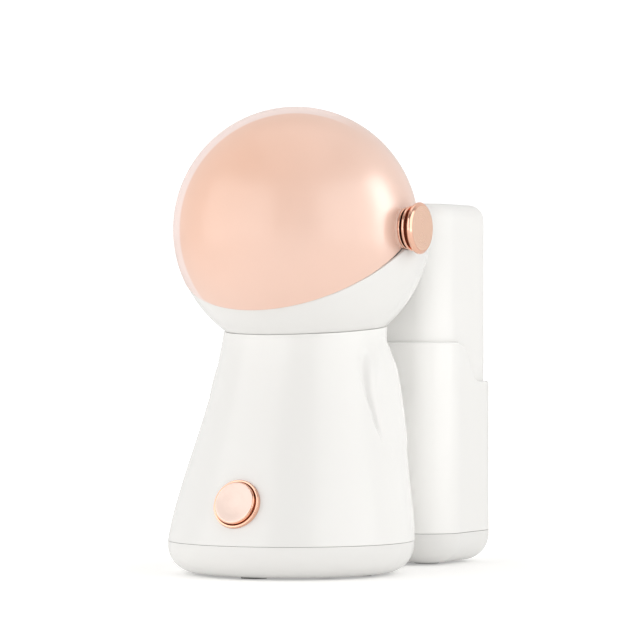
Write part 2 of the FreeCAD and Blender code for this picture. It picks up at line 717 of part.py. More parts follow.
def steam_nozzle():
    nozzle = revolve([(5.1, 0), (7.0, 0), (7.0, 10.0), (12.8, 16.6), (12.8, 17.6), (11.4, 17.6),
                      (5.1, 10.4)])
    return cut(place_in(NOZZLE_FRAME, nozzle, (0, 0, 36.1)), fuse(*needle_pair(0.65, 14.0, 41.5)))


def nozzle_ring():
    ring = revolve([(12.9, 0), (15.1, 0), (15.1, 2.6), (14.2, 3.4), (13.4, 3.4), (12.9, 2.8)])
    return place_in(NOZZLE_FRAME, ring, (0, 0, 53.2))


def ion_needles():
    return group(*needle_pair(0.6, 9.0, 42.5))


def pivot_yoke():
    """Two cranked arms that carry the pivot pins on the neck collar."""
    y = "dim.pivot_y - 5"
    arm = box(3.0, 10, 42, (46.5, y, 139.0))
    bar = box(19.5, 10, 3.0, (30.0, y, 139.0))
    foot = box(3.0, 10, 11.0, (30.0, y, 128.2))
    half = cut(fuse(arm, bar, foot), across_pivot("dim.pin_radius + 0.02", 40, 30))
    return group(half, mirror_x(half))


def pivot_pins():
    pin = fuse(across_pivot("dim.pin_radius", 46.2, 15.6), across_pivot(4.6, 44.5, 1.9))
    return group(pin, mirror_x(pin))


def visor():
    """Hollow part-sphere with a flat ear at each pivot."""
    wedge = common(half_space(dim.rim_slope, dim.rim_drop, 0.25, above=False),
                   half_space(dim.tuck_slope, 0.0, 0.0, above=False))
    outside = cut(ball("dim.visor_outer", AT_PIVOT), wedge)
    ears = [across_pivot(10.4, x, 6.0) for x in (56.0, -62.0)]
    shell = cut(fuse(outside, *ears), ball("dim.visor_inner", AT_PIVOT))
    return cut(shell, across_pivot("dim.pin_radius + dim.pin_clear", -70, 140))


# Knob and cover outlines are (r, distance from the middle plane along X).
def knob_flange():
    """Inner flange of the +X knob, with its hub."""
    return revolve([(0, 62.05), ("dim.knob_flange - 0.5", 62.05), ("dim.knob_flange", 62.5),
                    ("dim.knob_flange", 63.7), ("dim.knob_flange - 0.5", 64.1), (8.8, 64.1),
                    (8.8, 65.0), (10.4, 65.0), (11.0, 65.4), (11.0, 66.3), (10.6, 66.7),
                    (9.6, 66.7), (9.6, 67.3), (0, 67.3)], AT_PIVOT, TO_X)


def knob_cap():
    return revolve([(0, 67.35), ("dim.knob_radius - 1.6", 67.35),
                    ("dim.knob_radius - 0.6", 67.9), ("dim.knob_radius", 68.7),
                    ("dim.knob_radius", 69.7), ("dim.knob_radius - 0.4", 70.4),
                    ("dim.knob_radius - 1.2", "dim.knob_out"), (0, "dim.knob_out")],
                   AT_PIVOT, TO_X)


def pivot_cover():
    """Flat cover over the pivot on the -X side."""
    return mirror_x(revolve([(0, 62.05), (9.2, 62.05), (9.6, 62.4), (9.6, 62.8), (9.1, 63.2),
                             (0, 63.2)], AT_PIVOT, TO_X))


# ================================================================ power button
# Everything here sits in the button frame; z is along the outward normal.
def button_ring():
    ring = revolve([("dim.ring_inner", -5.0), ("dim.ring_outer", -5.0), ("dim.ring_outer", 0.9),
                    ("dim.ring_outer - 0.35", 1.3), ("dim.ring_inner + 0.3", 1.3),
                    ("dim.ring_inner", 1.0)])
    return place_in(BUTTON_FRAME, ring, (0, 0, 0))


def power_button():
    """Button with a stem behind and a slightly dished face."""
    button = revolve([(0, -7.0), (2.2, -7.0), (2.2, -3.0), ("dim.button_radius", -3.0),
                      ("dim.button_radius", "dim.button_proud - 0.8"),
                      ("dim.button_radius - 0.3", "dim.button_proud - 0.2"),
                      ("dim.button_radius - 0.9", "dim.button_proud"),
                      (7.5, "dim.button_proud - 0.15"), (4.0, "dim.button_proud - 0.35"),
                      (0, "dim.button_proud - 0.45")])
    return place_in(BUTTON_FRAME, button, (0, 0, 0))


def tact_switch():
    return fuse(place_in(BUTTON_FRAME, cyl(1.7, 1.2), (0, 0, -9.45)),
                place_in(BUTTON_FRAME, cyl(4.0, 3.2), (0, 0, -12.6)))


def switch_board():
    return place_in(BUTTON_FRAME, box(26, 20, 1.6), (-13, -10, -14.25))


def board_clips():
    return group(*[place_in(BUTTON_FRAME, box(4, 4, 7.3), (side * 10.5 - 2, -2, -12.6))
                   for side in (-1, 1)])


# ================================================================ electrics
def control_board():
    """Upright board with its components on the front face."""
    return fuse(box(50, 1.6, 46, (-25, 41.0, 52)),
                box(10, 6.1, 14, (-20, 34.95, 60)),
                box(8, 5.1, 8, (6, 35.95, 62)),
                box(12, 4.1, 6, (-4, 36.95, 80)),
                cyl(3.2, 10, (18, 41.05, 72), TO_FRONT))


def ion_generator():
    return box(22, 14, 10, (-11, 20, 100))


def power_inlet():
    """Socket open to the back, with two contact pins."""
    socket = cut(box(22, 15, 14, (-11, 128.1, 28)), box(15, 10, 8, (-7.5, 134, 31)))
    return fuse(socket, *[cyl(1.1, 8, (x, 141.5, 35), TO_FRONT) for x in (-3.6, 3.6)])


def wiring_harness():
    inlet_lead = [(9, 131, 26.0), (17, 125.5, 22.0), (17, 92, 22.0), (14, 84, 25.5),
                  (8, 60, 27.0), (8, 44.8, 30.0), (8, 43.6, 51.9)]
    button_lead = [(0, -36.5, 30.0), (0, -30, 23.0), (0, 24, 20.0), (0, 40, 22.0),
                   (0, 41.8, 51.9)]
    ion_lead = [(-10, 41.8, 98.1), (-10, 41.0, 103), (-5.6, 35.0, 104.7)]
    return group(tube(inlet_lead, 1.6), tube(button_lead, 1.1), tube(ion_lead, 1.1))


# ================================================================ build, check and write
# Each function's name is the label and file name of its piece.
PIECES = [
    base_cover, rubber_feet, base_screws, body_shell, rear_housing,
    water_tank, tank_cap, cap_gasket, valve_plunger, valve_seal, valve_spring,
    tank_seat, seat_seal, feed_funnel, water_pump, pump_cradle, feed_tube,
    boiler_pot, heater_plate, thermostat, boiler_gasket, boiler_lid, boiler_screws,
    boiler_stand, boiler_spacers, steam_pipe,
    neck_collar, head_bowl, inner_head, steam_nozzle, nozzle_ring, ion_needles,
    pivot_yoke, pivot_pins, visor, knob_flange, knob_cap, pivot_cover,
    button_ring, power_button, tact_switch, switch_board, board_clips,
    control_board, ion_generator, power_inlet, wiring_harness,
]


def finish(obj, label):
    """Label a piece and bind its shift to the centre of the footprint."""
    # these have a placement of their own, so the shift goes on a group around them
    if obj.TypeId in ("PartDesign::Body", "Part::Box"):
        obj = group(obj)
    obj.Label = label
    obj.setExpression("Placement.Base.x", "dim.x_shift")
    obj.setExpression("Placement.Base.y", "dim.y_shift")
    return obj


finished = [finish(make(), make.__name__) for make in PIECES]
doc.recompute()

bad = ["%s %s %s" % (o.Name, o.Label, o.State) for o in doc.Objects
       if "Invalid" in o.State or "Error" in o.State]
for piece in finished:
    shape = piece.Shape
    if shape.isNull() or not shape.isValid() or not shape.Solids:
        bad.append("%s: shape not usable" % piece.Label)
if bad:
    raise RuntimeError("\n".join(bad))

os.makedirs("parts", exist_ok=True)
for piece in finished:
    piece.Shape.exportStep("parts/%s.step" % piece.Label)
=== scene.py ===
"""A white tabletop appliance: a flip-up peach visor over a round head, a flared body
with a rose gold power button, and a water tank standing in a holder behind.

Shapes are written in millimetres about the axis of the body foot: front is -Y, up is
+Z, and the rose gold knob is on the +X side. to_row() moves them into the row frame,
in metres.
"""
import json
import math
import bmesh
import bpy
import numpy as np
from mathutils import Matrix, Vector


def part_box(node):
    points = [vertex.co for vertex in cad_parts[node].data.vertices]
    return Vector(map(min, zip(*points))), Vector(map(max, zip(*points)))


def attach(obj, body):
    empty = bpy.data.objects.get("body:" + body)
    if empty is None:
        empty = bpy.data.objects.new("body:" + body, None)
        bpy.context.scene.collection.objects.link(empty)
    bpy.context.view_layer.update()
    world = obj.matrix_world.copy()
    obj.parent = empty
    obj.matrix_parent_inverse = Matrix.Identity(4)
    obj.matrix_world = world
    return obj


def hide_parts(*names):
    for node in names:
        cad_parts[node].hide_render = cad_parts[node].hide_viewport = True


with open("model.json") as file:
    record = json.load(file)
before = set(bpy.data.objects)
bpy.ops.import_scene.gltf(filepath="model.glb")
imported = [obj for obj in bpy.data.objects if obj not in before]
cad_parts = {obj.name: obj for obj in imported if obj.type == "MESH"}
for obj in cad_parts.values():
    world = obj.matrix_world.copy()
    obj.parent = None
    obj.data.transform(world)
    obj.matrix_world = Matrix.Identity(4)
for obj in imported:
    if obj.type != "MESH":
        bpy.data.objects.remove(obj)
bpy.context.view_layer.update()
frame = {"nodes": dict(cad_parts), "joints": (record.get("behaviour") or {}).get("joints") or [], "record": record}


# ------------------------------------------------------------------ driving places
JOINTS = {joint["name"]: joint for joint in frame["joints"]}
PIVOT_ROW = Vector(JOINTS["visor_flip"]["pos_m"]) * 1000.0
PIVOT_Y = 5.2                           # pivot behind the axis of the foot
PIVOT = np.array([0.0, PIVOT_Y, PIVOT_ROW.z])
PIVOT_M = np.array(PIVOT_ROW) / 1000.0
ROW_SHIFT = np.array([PIVOT_ROW.x, PIVOT_ROW.y - PIVOT_Y, 0.0])

BUTTON_CENTRE = np.array([0.0, -55.5, 37.0])
BUTTON_AXIS = -Vector(JOINTS["button_press"]["axis"])
BUTTON_OUT = np.array([0.0, BUTTON_AXIS.y, BUTTON_AXIS.z])

CAMERA_TURN = math.radians(28.0)        # the camera stands this far round towards +X
VIEW_RIGHT = np.array([math.cos(CAMERA_TURN), math.sin(CAMERA_TURN), 0.0])
TO_CAMERA = np.array([math.sin(CAMERA_TURN), -math.cos(CAMERA_TURN), 0.0])


def box_mm(name):
    """Low and high corner of a CAD piece, in the script's millimetres."""
    return [np.array(corner) * 1000 - ROW_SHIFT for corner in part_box(name)]


TANK_LOW, TANK_HIGH = box_mm("water_tank")
HOLDER_HIGH = box_mm("rear_housing")[1]
HOLDER_FRONT = TANK_LOW[1] - (HOLDER_HIGH[1] - TANK_HIGH[1])
KNOB_END = box_mm("knob_cap")[1][0]

SEAM_Z = 16.86                          # bottom edge of the white shells
FOOT_EDGE = 0.22                        # rounding of that edge
NECK_Y, NECK_Z = 15.5, 122.4            # middle of the tilted joint of body and head
NECK_SLOPE = math.tan(math.radians(4.0))


def neck_top(y, lift):
    """Height of the tilted neck plane, raised by lift."""
    return NECK_Z + lift + NECK_SLOPE * (y - NECK_Y)


# ------------------------------------------------------------------ small maths
def full_turn(count):
    return np.linspace(0, 2 * math.pi, count, endpoint=False)


def quarter(count):
    return np.linspace(0, math.pi / 2, count)


def smooth_max(a, b, width):
    share = np.clip(0.5 + 0.5 * (a - b) / width, 0, 1)
    return b + (a - b) * share + width * share * (1 - share)


def smooth_min(a, b, width):
    return -smooth_max(-b, -a, width)


def along(table, z):
    """Second column of a table, read at z in its first column."""
    heights, values = np.transpose(table)
    return np.interp(z, heights, values)


def bisect(inside, count, low, high, steps):
    """Per column, the value between low and high where inside() stops being true."""
    low, high = np.full(count, low), np.full(count, high)
    for _ in range(steps):
        middle = 0.5 * (low + high)
        within = inside(middle)
        low = np.where(within, middle, low)
        high = np.where(within, high, middle)
    return 0.5 * (low + high)


# ------------------------------------------------------------------ mesh tools
def to_row(points):
    return (np.asarray(points, float) + ROW_SHIFT) / 1000.0


def smooth(mesh, sharp):
    """Smooth shading, with edges above sharp degrees kept crisp."""
    mesh.shade_smooth()
    mesh.set_sharp_from_angle(angle=math.radians(sharp))


def mesh_object(name, points, faces, materials=(), face_materials=None):
    """Linked object with welded points and normals facing out."""
    mesh = bpy.data.meshes.new(name)
    corners = [tuple(map(int, face)) for face in faces]
    mesh.from_pydata([tuple(point) for point in to_row(points)], [], corners)
    mesh.update()
    for material in materials:
        mesh.materials.append(material)
    if face_materials is not None:
        mesh.polygons.foreach_set("material_index", np.asarray(face_materials, np.int32))
    bm = bmesh.new()
    bm.from_mesh(mesh)
    bmesh.ops.remove_doubles(bm, verts=bm.verts, dist=1e-7)
    bmesh.ops.recalc_face_normals(bm, faces=bm.faces)
    bm.to_mesh(mesh)
    bm.free()
    made = bpy.data.objects.new(name, mesh)
    bpy.context.scene.collection.objects.link(made)
    return made


def make(name, points, faces, body, slot, sharp, accent=None, face_materials=None):
    """Finished piece in its slot's material, with an optional accent material."""
    materials = [SLOT_MATERIAL[slot]] + ([accent] if accent else [])
    made = mesh_object(name, points, faces, materials, face_materials)
    smooth(made.data, sharp)
    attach(made, body)
    return made


def skin(rings, loop=False):
    """Points and faces through equal rings: a closed loop, or ends closed by fans."""
    rings = np.asarray(rings, float)
    count, sides, _ = rings.shape
    points = rings.reshape(-1, 3)
    here = np.arange(sides)
    after = (here + 1) % sides
    faces = []
    for row in range(count if loop else count - 1):
        low, high = row * sides, (row + 1) % count * sides
        faces.extend(zip(low + here, low + after, high + after, high + here))
    if not loop:
        last, pole = (count - 1) * sides, count * sides
        faces.extend((pole, j, i) for i, j in zip(here, after))
        faces.extend((pole + 1, last + i, last + j) for i, j in zip(here, after))
        points = np.vstack([points, rings[0].mean(0), rings[-1].mean(0)])
    return points, faces


def rounded(corners, steps):
    """Polyline with rounded corners; each corner is (x, y, radius), 0 keeps it crisp."""
    line = []
    last = len(corners) - 1
    for k, (x, y, radius) in enumerate(corners):
        corner = np.array((x, y), float)
        if radius <= 0 or k in (0, last):
            line.append(corner)
            continue
        back = np.array(corners[k - 1][:2], float) - corner
        ahead = np.array(corners[k + 1][:2], float) - corner
        back_length, ahead_length = np.linalg.norm(back), np.linalg.norm(ahead)
        back, ahead = back / back_length, ahead / ahead_length
        half = math.acos(max(-1, min(1, float(back @ ahead)))) / 2
        # the arc may not use up more than half of either side
        reach = min(radius / math.tan(half), back_length * 0.49, ahead_length * 0.49)
        radius = reach * math.tan(half)
        bisector = (back + ahead) / np.linalg.norm(back + ahead)
        centre = corner + bisector * radius / math.sin(half)
        start = corner + back * reach - centre
        end = corner + ahead * reach - centre
        sweep = math.acos(max(-1, min(1, float(start @ end) / (radius * radius))))
        for step in range(steps + 1):
            f = step / steps
            spoke = start * math.sin((1 - f) * sweep) + end * math.sin(f * sweep)
            line.append(centre + spoke / math.sin(sweep))
    return line


def placed(points, origin, axis):
    """Points drawn about +Z, turned onto an axis through origin."""
    along_z = np.array(axis, float)
    along_z /= np.linalg.norm(along_z)
    along_x = np.array((1, 0, 0) if abs(along_z[0]) <= 0.95 else (0, 1, 0), float)
    along_x = along_x - along_z * (along_x @ along_z)
    along_x /= np.linalg.norm(along_x)
    turn = np.column_stack([along_x, np.cross(along_z, along_x), along_z])
    return np.asarray(points, float) @ turn.T + origin


LATHE_SIDES = 144
CUTTER_SIDES = 192


def lathe(name, origin, axis, profile, body, slot, sharp=50.0, accent=None, accent_at=None):
    """Turned piece from (radius, height) points.

    A profile that starts off the axis is closed into a ring. Bands whose middle
    passes accent_at(radius, height) get the accent material.
    """
    turn = full_turn(LATHE_SIDES)
    points, rings = [], []
    for r, z in profile:
        start = len(points)
        if abs(r) < 1e-9:
            rings.append([start] * LATHE_SIDES)
            points.append((0, 0, z))
        else:
            rings.append(list(range(start, start + LATHE_SIDES)))
            points.extend(zip(r * np.cos(turn), r * np.sin(turn), np.full(LATHE_SIDES, z)))
    bands = [(k, k + 1) for k in range(len(profile) - 1)]
    if profile[0][0] > 1e-9:
        bands.append((len(profile) - 1, 0))
    faces, face_materials = [], []
    for k, following in bands:
        low, high = rings[k], rings[following]
        middle = 0.5 * (profile[k] + profile[following])
        accented = int(bool(accent_at and accent_at(*middle)))
        for i in range(LATHE_SIDES):
            j = (i + 1) % LATHE_SIDES
            # a repeated pole index drops out and leaves a triangle
            faces.append(tuple(dict.fromkeys((low[i], low[j], high[j], high[i]))))
            face_materials.append(accented)
    points = placed(points, origin, axis)
    return make(name, points, faces, body, slot, sharp, accent, face_materials)


def cylinder_tool(origin, axis, radius, start, end):
    """Cylinder to cut with, between two distances along the axis."""
    turn = full_turn(CUTTER_SIDES)
    rings = [np.stack([radius * np.cos(turn), radius * np.sin(turn),
                       np.full(CUTTER_SIDES, z)], 1) for z in (start, end)]
    points, faces = skin(rings)
    return mesh_object("tool", placed(points, origin, axis), faces)


def block_tool(x_range, y_range, z_range):
    """Box to cut with."""
    points = [(x, y, z) for z in z_range for y in y_range for x in x_range]
    faces = [(0, 2, 3, 1), (4, 5, 7, 6), (0, 1, 5, 4), (2, 6, 7, 3), (0, 4, 6, 2), (1, 3, 7, 5)]
    return mesh_object("tool", points, faces)


def carve(piece, tools, sharp):
    """Cut the tools out of a piece, bake the result and remove the tools."""
    for tool in tools:
        cut = piece.modifiers.new("cut", "BOOLEAN")
        cut.operation = "DIFFERENCE"
        cut.solver = "EXACT"
        cut.object = tool
    bpy.context.view_layer.update()
    depsgraph = bpy.context.evaluated_depsgraph_get()
    mesh = bpy.data.meshes.new_from_object(piece.evaluated_get(depsgraph))
    old = piece.data
    piece.modifiers.clear()
    piece.data = mesh
    mesh.name = old.name
    for tool in tools:
        bpy.data.objects.remove(tool)
    smooth(mesh, sharp)


# ------------------------------------------------------------------ shader tools
def empty_tree(owner):
    owner.use_nodes = True
    tree = owner.node_tree
    for old in list(tree.nodes):
        tree.nodes.remove(old)
    return tree


def new_material(name):
    material = bpy.data.materials.new(name)
    return material, empty_tree(material)


def node(tree, kind, inputs=None, **settings):
    """New shader node; an input is given as a value, or as a socket to link from."""
    made = tree.nodes.new("ShaderNode" + kind)
    for key, value in settings.items():
        setattr(made, key, value)
    for key, value in (inputs or {}).items():
        if isinstance(value, bpy.types.NodeSocket):
            tree.links.new(value, made.inputs[key])
        else:
            made.inputs[key].default_value = value
    return made


def object_coords(tree):
    return node(tree, "TexCoord").outputs["Object"]


def noise(tree, vector, scale, detail, roughness=0.5):
    inputs = {"Vector": vector, "Scale": scale, "Detail": detail, "Roughness": roughness}
    return node(tree, "TexNoise", inputs).outputs["Fac"]


def map_range(tree, value, source=(0.0, 1.0), target=(0.0, 1.0), kind="LINEAR"):
    inputs = {"Value": value, "From Min": source[0], "From Max": source[1],
              "To Min": target[0], "To Max": target[1]}
    return node(tree, "MapRange", inputs, interpolation_type=kind).outputs["Result"]


def mix_color(tree, share, first, second, blend="MIX"):
    # sockets 6, 7 and output 2 are the colour ones
    inputs = {0: share, 6: first, 7: second}
    return node(tree, "Mix", inputs, data_type="RGBA", blend_type=blend).outputs[2]


def mix_shader(tree, share, first, second):
    return node(tree, "MixShader", {0: share, 1: first, 2: second}).outputs[0]


def bump(tree, height, strength, distance):
    inputs = {"Height": height, "Strength": strength, "Distance": distance}
    return node(tree, "Bump", inputs).outputs["Normal"]


def dot(tree, vector, direction):
    inputs = {0: vector, 1: tuple(direction)}
    return node(tree, "VectorMath", inputs, operation="DOT_PRODUCT").outputs["Value"]


def arithmetic(tree, operation, *values):
    return node(tree, "Math", dict(enumerate(values)), operation=operation).outputs[0]


def principled(tree, inputs):
    return node(tree, "BsdfPrincipled", inputs).outputs["BSDF"]


# ------------------------------------------------------------------ materials
NOISE_CORE = (0.3, 0.7)                 # the part of a noise's range that is used


def plastic(name, color, roughness, *, bump_mm, mottle, metallic=0.0, grain_scale=900.0,
            roughness_spread=0.06, coat=0.0, subsurface=0.0, specular=0.5):
    """Moulded or polished finish: mottled colour, uneven roughness and a fine grain."""
    material, tree = new_material(name)
    coords = object_coords(tree)
    broad = noise(tree, coords, scale=28.0, detail=4.0, roughness=0.55)
    grain = noise(tree, coords, scale=grain_scale, detail=3.0, roughness=0.6)
    patches = noise(tree, coords, scale=150.0, detail=5.0, roughness=0.6)
    shade = map_range(tree, broad, NOISE_CORE, (1.0 - mottle, 1.0 + mottle * 0.6))
    spread = (roughness - roughness_spread, roughness + roughness_spread)
    inputs = {
        "Base Color": mix_color(tree, 1.0, (*color, 1), shade, "MULTIPLY"),
        "Roughness": map_range(tree, patches, NOISE_CORE, spread),
        "Normal": bump(tree, grain, strength=0.35, distance=bump_mm / 1000.0),
        "Metallic": metallic,
        "IOR": 1.46,
        "Specular IOR Level": specular,
        "Coat Weight": coat,
        "Coat Roughness": 0.08,
    }
    if subsurface:
        inputs.update({
            "Subsurface Weight": subsurface,
            "Subsurface Radius": (1.0, 0.9, 0.8),
            "Subsurface Scale": 0.002,
        })
    node(tree, "OutputMaterial", {"Surface": principled(tree, inputs)})
    return material


def brushed(name, color, roughness, ring_centre=None):
    """Metal with fine lines: rings about an X axis through ring_centre, else straight."""
    material, tree = new_material(name)
    coords = object_coords(tree)
    centred = node(tree, "Mapping", {"Vector": coords})
    if ring_centre is not None:
        centred.inputs["Location"].default_value = tuple(-ring_centre)
        wave = {"Vector": centred.outputs["Vector"], "Scale": 260.0, "Distortion": 1.2,
                "Detail": 3.0, "Detail Scale": 2.0}
        rings = node(tree, "TexWave", wave, wave_type="RINGS", rings_direction="X")
        lines = rings.outputs["Fac"]
    else:
        stretch = {"Vector": centred.outputs["Vector"], "Scale": (1, 1, 40)}
        stretched = node(tree, "Mapping", stretch).outputs["Vector"]
        lines = noise(tree, stretched, scale=60.0, detail=4.0)
    fine = noise(tree, coords, scale=700.0, detail=3.0)
    spread = (roughness * 0.8, roughness * 1.2)
    line_roughness = map_range(tree, lines, target=spread)
    shade = map_range(tree, fine, target=(0.96, 1.03))
    surface = principled(tree, {
        "Metallic": 1.0,
        "Base Color": mix_color(tree, 1.0, (*color, 1), shade, "MULTIPLY"),
        "Roughness": line_roughness,
        "Normal": bump(tree, lines, strength=0.25, distance=0.000008),
    })
    node(tree, "OutputMaterial", {"Surface": surface})
    return material


def peach_visor(name):
    """Tinted moulded shell: part reflecting, part glowing through, part clear, with painted light in a pale,
    glowing band along its rim.
    """
    material, tree = new_material(name)
    coords = object_coords(tree)
    broad = noise(tree, coords, scale=14.0, detail=3.0, roughness=0.5)
    grain = noise(tree, coords, scale=1100.0, detail=3.0, roughness=0.6)
    shade = map_range(tree, broad, NOISE_CORE, (0.97, 1.02))

    # painted light: a paler, glowing band where the wall is seen edge-on, fading out towards the right of the view
    facing = node(tree, "LayerWeight", {"Blend": 0.5}).outputs["Facing"]
    rim = map_range(tree, facing, (0.655, 0.70), kind="SMOOTHSTEP")
    pivot_right = float(PIVOT_M @ VIEW_RIGHT)
    fade = (pivot_right + 0.008, pivot_right + 0.036)
    left_side = map_range(tree, dot(tree, coords, VIEW_RIGHT), fade, (1.0, 0.0), "SMOOTHSTEP")
    painted_rim_light = arithmetic(tree, "MULTIPLY", rim, left_side)

    # painted shade: deeper colour towards the upper left of the view
    upper_left = 0.7 * (np.array([0.0, 0.0, 1.0]) - VIEW_RIGHT)
    pivot_height = 0.7 * (float(PIVOT_M[2]) - pivot_right)
    deepening = (pivot_height - 0.010, pivot_height + 0.058)
    painted_shade_share = map_range(tree, dot(tree, coords, upper_left), deepening, kind="SMOOTHSTEP")
    deep = mix_color(tree, painted_shade_share, (1.0, 0.712, 0.59, 1), (1.0, 0.64, 0.48, 1))
    colour = mix_color(tree, painted_rim_light, deep, (1.0, 0.86, 0.82, 1))

    shell = principled(tree, {
        "Roughness": 0.33,
        "IOR": 1.49,
        "Coat Weight": 1.0,
        "Coat Roughness": 0.27,
        "Base Color": mix_color(tree, 1.0, colour, shade, "MULTIPLY"),
        "Normal": bump(tree, grain, strength=0.3, distance=0.000004),
        # painted glow: the pale rim band gives off light of its own
        "Emission Color": (1.0, 0.80, 0.74, 1),
        "Emission Strength": arithmetic(tree, "MULTIPLY", painted_rim_light, 0.16),
    })
    glow = node(tree, "BsdfTranslucent", {"Color": (1.0, 0.74, 0.64, 1)}).outputs["BSDF"]
    clear = node(tree, "BsdfTransparent", {"Color": (1.0, 0.84, 0.77, 1)}).outputs["BSDF"]
    lit = mix_shader(tree, 0.06, shell, glow)
    # 0.12 clear all over, and 0.10 more at the pale rim
    clear_share = arithmetic(tree, "MULTIPLY_ADD", painted_rim_light, 0.10, 0.12)
    node(tree, "OutputMaterial", {"Surface": mix_shader(tree, clear_share, lit, clear)})
    return material


SHELL_WHITE = (0.845, 0.84, 0.825)
SLOT_MATERIAL = {
    "white_plastic": plastic(
        "white_shell", SHELL_WHITE, roughness=0.25, bump_mm=0.0025, mottle=0.004,
        roughness_spread=0.012, coat=0.10, grain_scale=1500.0),
    "tank_plastic": plastic(
        "tank_white", SHELL_WHITE, roughness=0.38, bump_mm=0.0035, mottle=0.004,
        roughness_spread=0.015, specular=0.3, grain_scale=1300.0),
    "inner_white": plastic(
        "inner_white", (0.88, 0.86, 0.84), roughness=0.42, bump_mm=0.010, mottle=0.01),
    "grey_plastic": plastic(
        "grey_moulding", (0.52, 0.52, 0.52), roughness=0.5, bump_mm=0.03, mottle=0.04),
    "dark_plastic": plastic(
        "dark_moulding", (0.028, 0.028, 0.03), roughness=0.48, bump_mm=0.03, mottle=0.08),
    "grey_rubber": plastic(
        "foot_rubber", (0.27, 0.27, 0.265), roughness=0.8, bump_mm=0.06, mottle=0.08,
        grain_scale=500),
    "silicone": plastic(
        "silicone_soft", (0.72, 0.72, 0.69), roughness=0.55, bump_mm=0.02, mottle=0.03,
        subsurface=0.2),
    "steel": brushed("spun_steel", (0.60, 0.60, 0.61), roughness=0.28),
    "aluminium_cast": plastic(
        "cast_aluminium", (0.55, 0.55, 0.56), roughness=0.42, bump_mm=0.05, mottle=0.06,
        metallic=1.0, grain_scale=420),
    "circuit_board": plastic(
        "circuit_green", (0.02, 0.13, 0.06), roughness=0.35, bump_mm=0.02, mottle=0.12,
        grain_scale=260),
    "wire_insulation": plastic(
        "wire_red", (0.45, 0.03, 0.025), roughness=0.45, bump_mm=0.02, mottle=0.08),
    "peach_visor": peach_visor("peach_visor"),
    "rose_gold": plastic(
        "rose_gold_polished", (0.90, 0.535, 0.40), roughness=0.10, bump_mm=0.002,
        mottle=0.015, metallic=1.0, grain_scale=1600, roughness_spread=0.03),
}
SATIN_FACE = brushed(
    "rose_gold_satin", (0.99, 0.665, 0.51), roughness=0.30, ring_centre=PIVOT_M)
BUTTON_FACE = plastic(
    "rose_gold_button_face", (0.78, 0.63, 0.565), roughness=0.50, bump_mm=0.004,
    mottle=0.02, metallic=1.0, grain_scale=1800, roughness_spread=0.04)
# painted shade: a darkened copy of the rose gold for the groove between the knob's rims
GROOVE_SHADE = plastic(
    "rose_gold_groove_painted_shade", (0.15, 0.06, 0.038), roughness=0.30, bump_mm=0.003, mottle=0.04,
    metallic=1.0, grain_scale=1600)


def dress_cad_pieces():
    for part in frame["record"]["subparts"]:
        piece = frame["nodes"].get(part["node"])
        if piece is None:
            continue
        piece.data.materials.clear()
        piece.data.materials.append(SLOT_MATERIAL[part["material_slot"]])


dress_cad_pieces()

# ------------------------------------------------------------------ body shell
# a flared round cone blended with an upright rounded pad, the shoulder, at the sides
BODY_SIDES = 600
BODY_TURN = full_turn(BODY_SIDES)       # from the front (-Y), towards +X
BODY_WALL = 2.5
NECK_EDGE = 0.15                        # rounding of the top edge
BUTTON_HOLE_RADIUS = 12.24

# height, radius, centre y of the round cone
CONE = np.array([
    (17.1, 61.5, 0.0), (31.0, 59.6, 2.0), (46.7, 56.2, 4.2), (58.0, 53.1, 5.7),
    (71.7, 49.6, 7.5), (84.0, 46.6, 9.1), (96.7, 44.0, 11.0), (110.0, 42.0, 13.4),
    (121.7, 41.0, 15.5), (129.7, 40.6, 17.0)])
CONE_MIDDLE = 70                        # height about which the curves are fitted
RADIUS_FIT = np.polyfit(CONE[:, 0] - CONE_MIDDLE, CONE[:, 1], 5)
CENTRE_FIT = np.polyfit(CONE[:, 0] - CONE_MIDDLE, CONE[:, 2], 4)

SHOULDER_TOP = 121.5
SHOULDER_BACK = 43.9
SHOULDER_BACK_CORNER = 20.0
# the tables below read: height, value
SHOULDER_HALF_WIDTH = [
    (17.0, 51.0), (45.0, 50.4), (61.0, 50.5), (68.0, 50.6), (73.4, 49.9), (80.0, 49.0),
    (86.7, 48.0), (92.0, 47.2), (96.0, 46.6), (101.0, 46.1), (121.0, 45.9)]
SHOULDER_SHRINK = [
    (17.0, 0.0), (92.0, 0.0), (96.0, 0.15), (101.0, 0.45), (105.0, 1.3), (110.0, 2.8),
    (114.0, 4.2), (118.0, 5.8), (121.5, 7.5)]
SHOULDER_FRONT = [
    (17.0, 12.0), (62.0, 6.5), (69.8, 2.4), (76.0, 0.0), (82.0, -1.8), (90.5, -2.6),
    (94.5, -3.0), (100.0, -2.6), (105.3, -1.2), (110.4, 1.2), (114.0, 3.2), (121.0, 8.0)]
SHOULDER_FRONT_SHIFT = -1.5             # moves the whole front line
SHOULDER_FRONT_CORNER = [
    (60, 5.0), (75, 4.5), (85, 6.5), (95, 9.0), (105, 12.0), (115, 15.0)]
BLEND_WIDTH = [
    (17, 7.0), (58, 5.0), (66, 1.8), (72, 1.0), (82, 1.2), (90, 2.2), (100, 4.0),
    (106, 4.6), (112, 3.8), (117, 1.8), (121.5, 0.4)]
# the valley along the front of the shoulder: a thin line low down, a soft dent above
VALLEY_DEGREES = [
    (69.0, 84.0), (75.0, 80.3), (82.0, 77.4), (88.0, 75.0), (94.0, 73.2), (101.0, 72.3),
    (108.0, 72.8), (113.0, 74.0)]
VALLEY_DEPTH = [
    (65.5, 0.0), (69.0, 0.6), (78.0, 1.05), (90.0, 1.5), (100.0, 1.7), (106.0, 1.3),
    (113.0, 0.0)]
VALLEY_WIDTH = [(66.0, 0.7), (78.0, 0.8), (88.0, 1.1), (96.0, 1.7), (108.0, 2.6)]


def cone_radius(z):
    return np.polyval(RADIUS_FIT, z - CONE_MIDDLE)


def cone_centre(z):
    return np.polyval(CENTRE_FIT, z - CONE_MIDDLE)


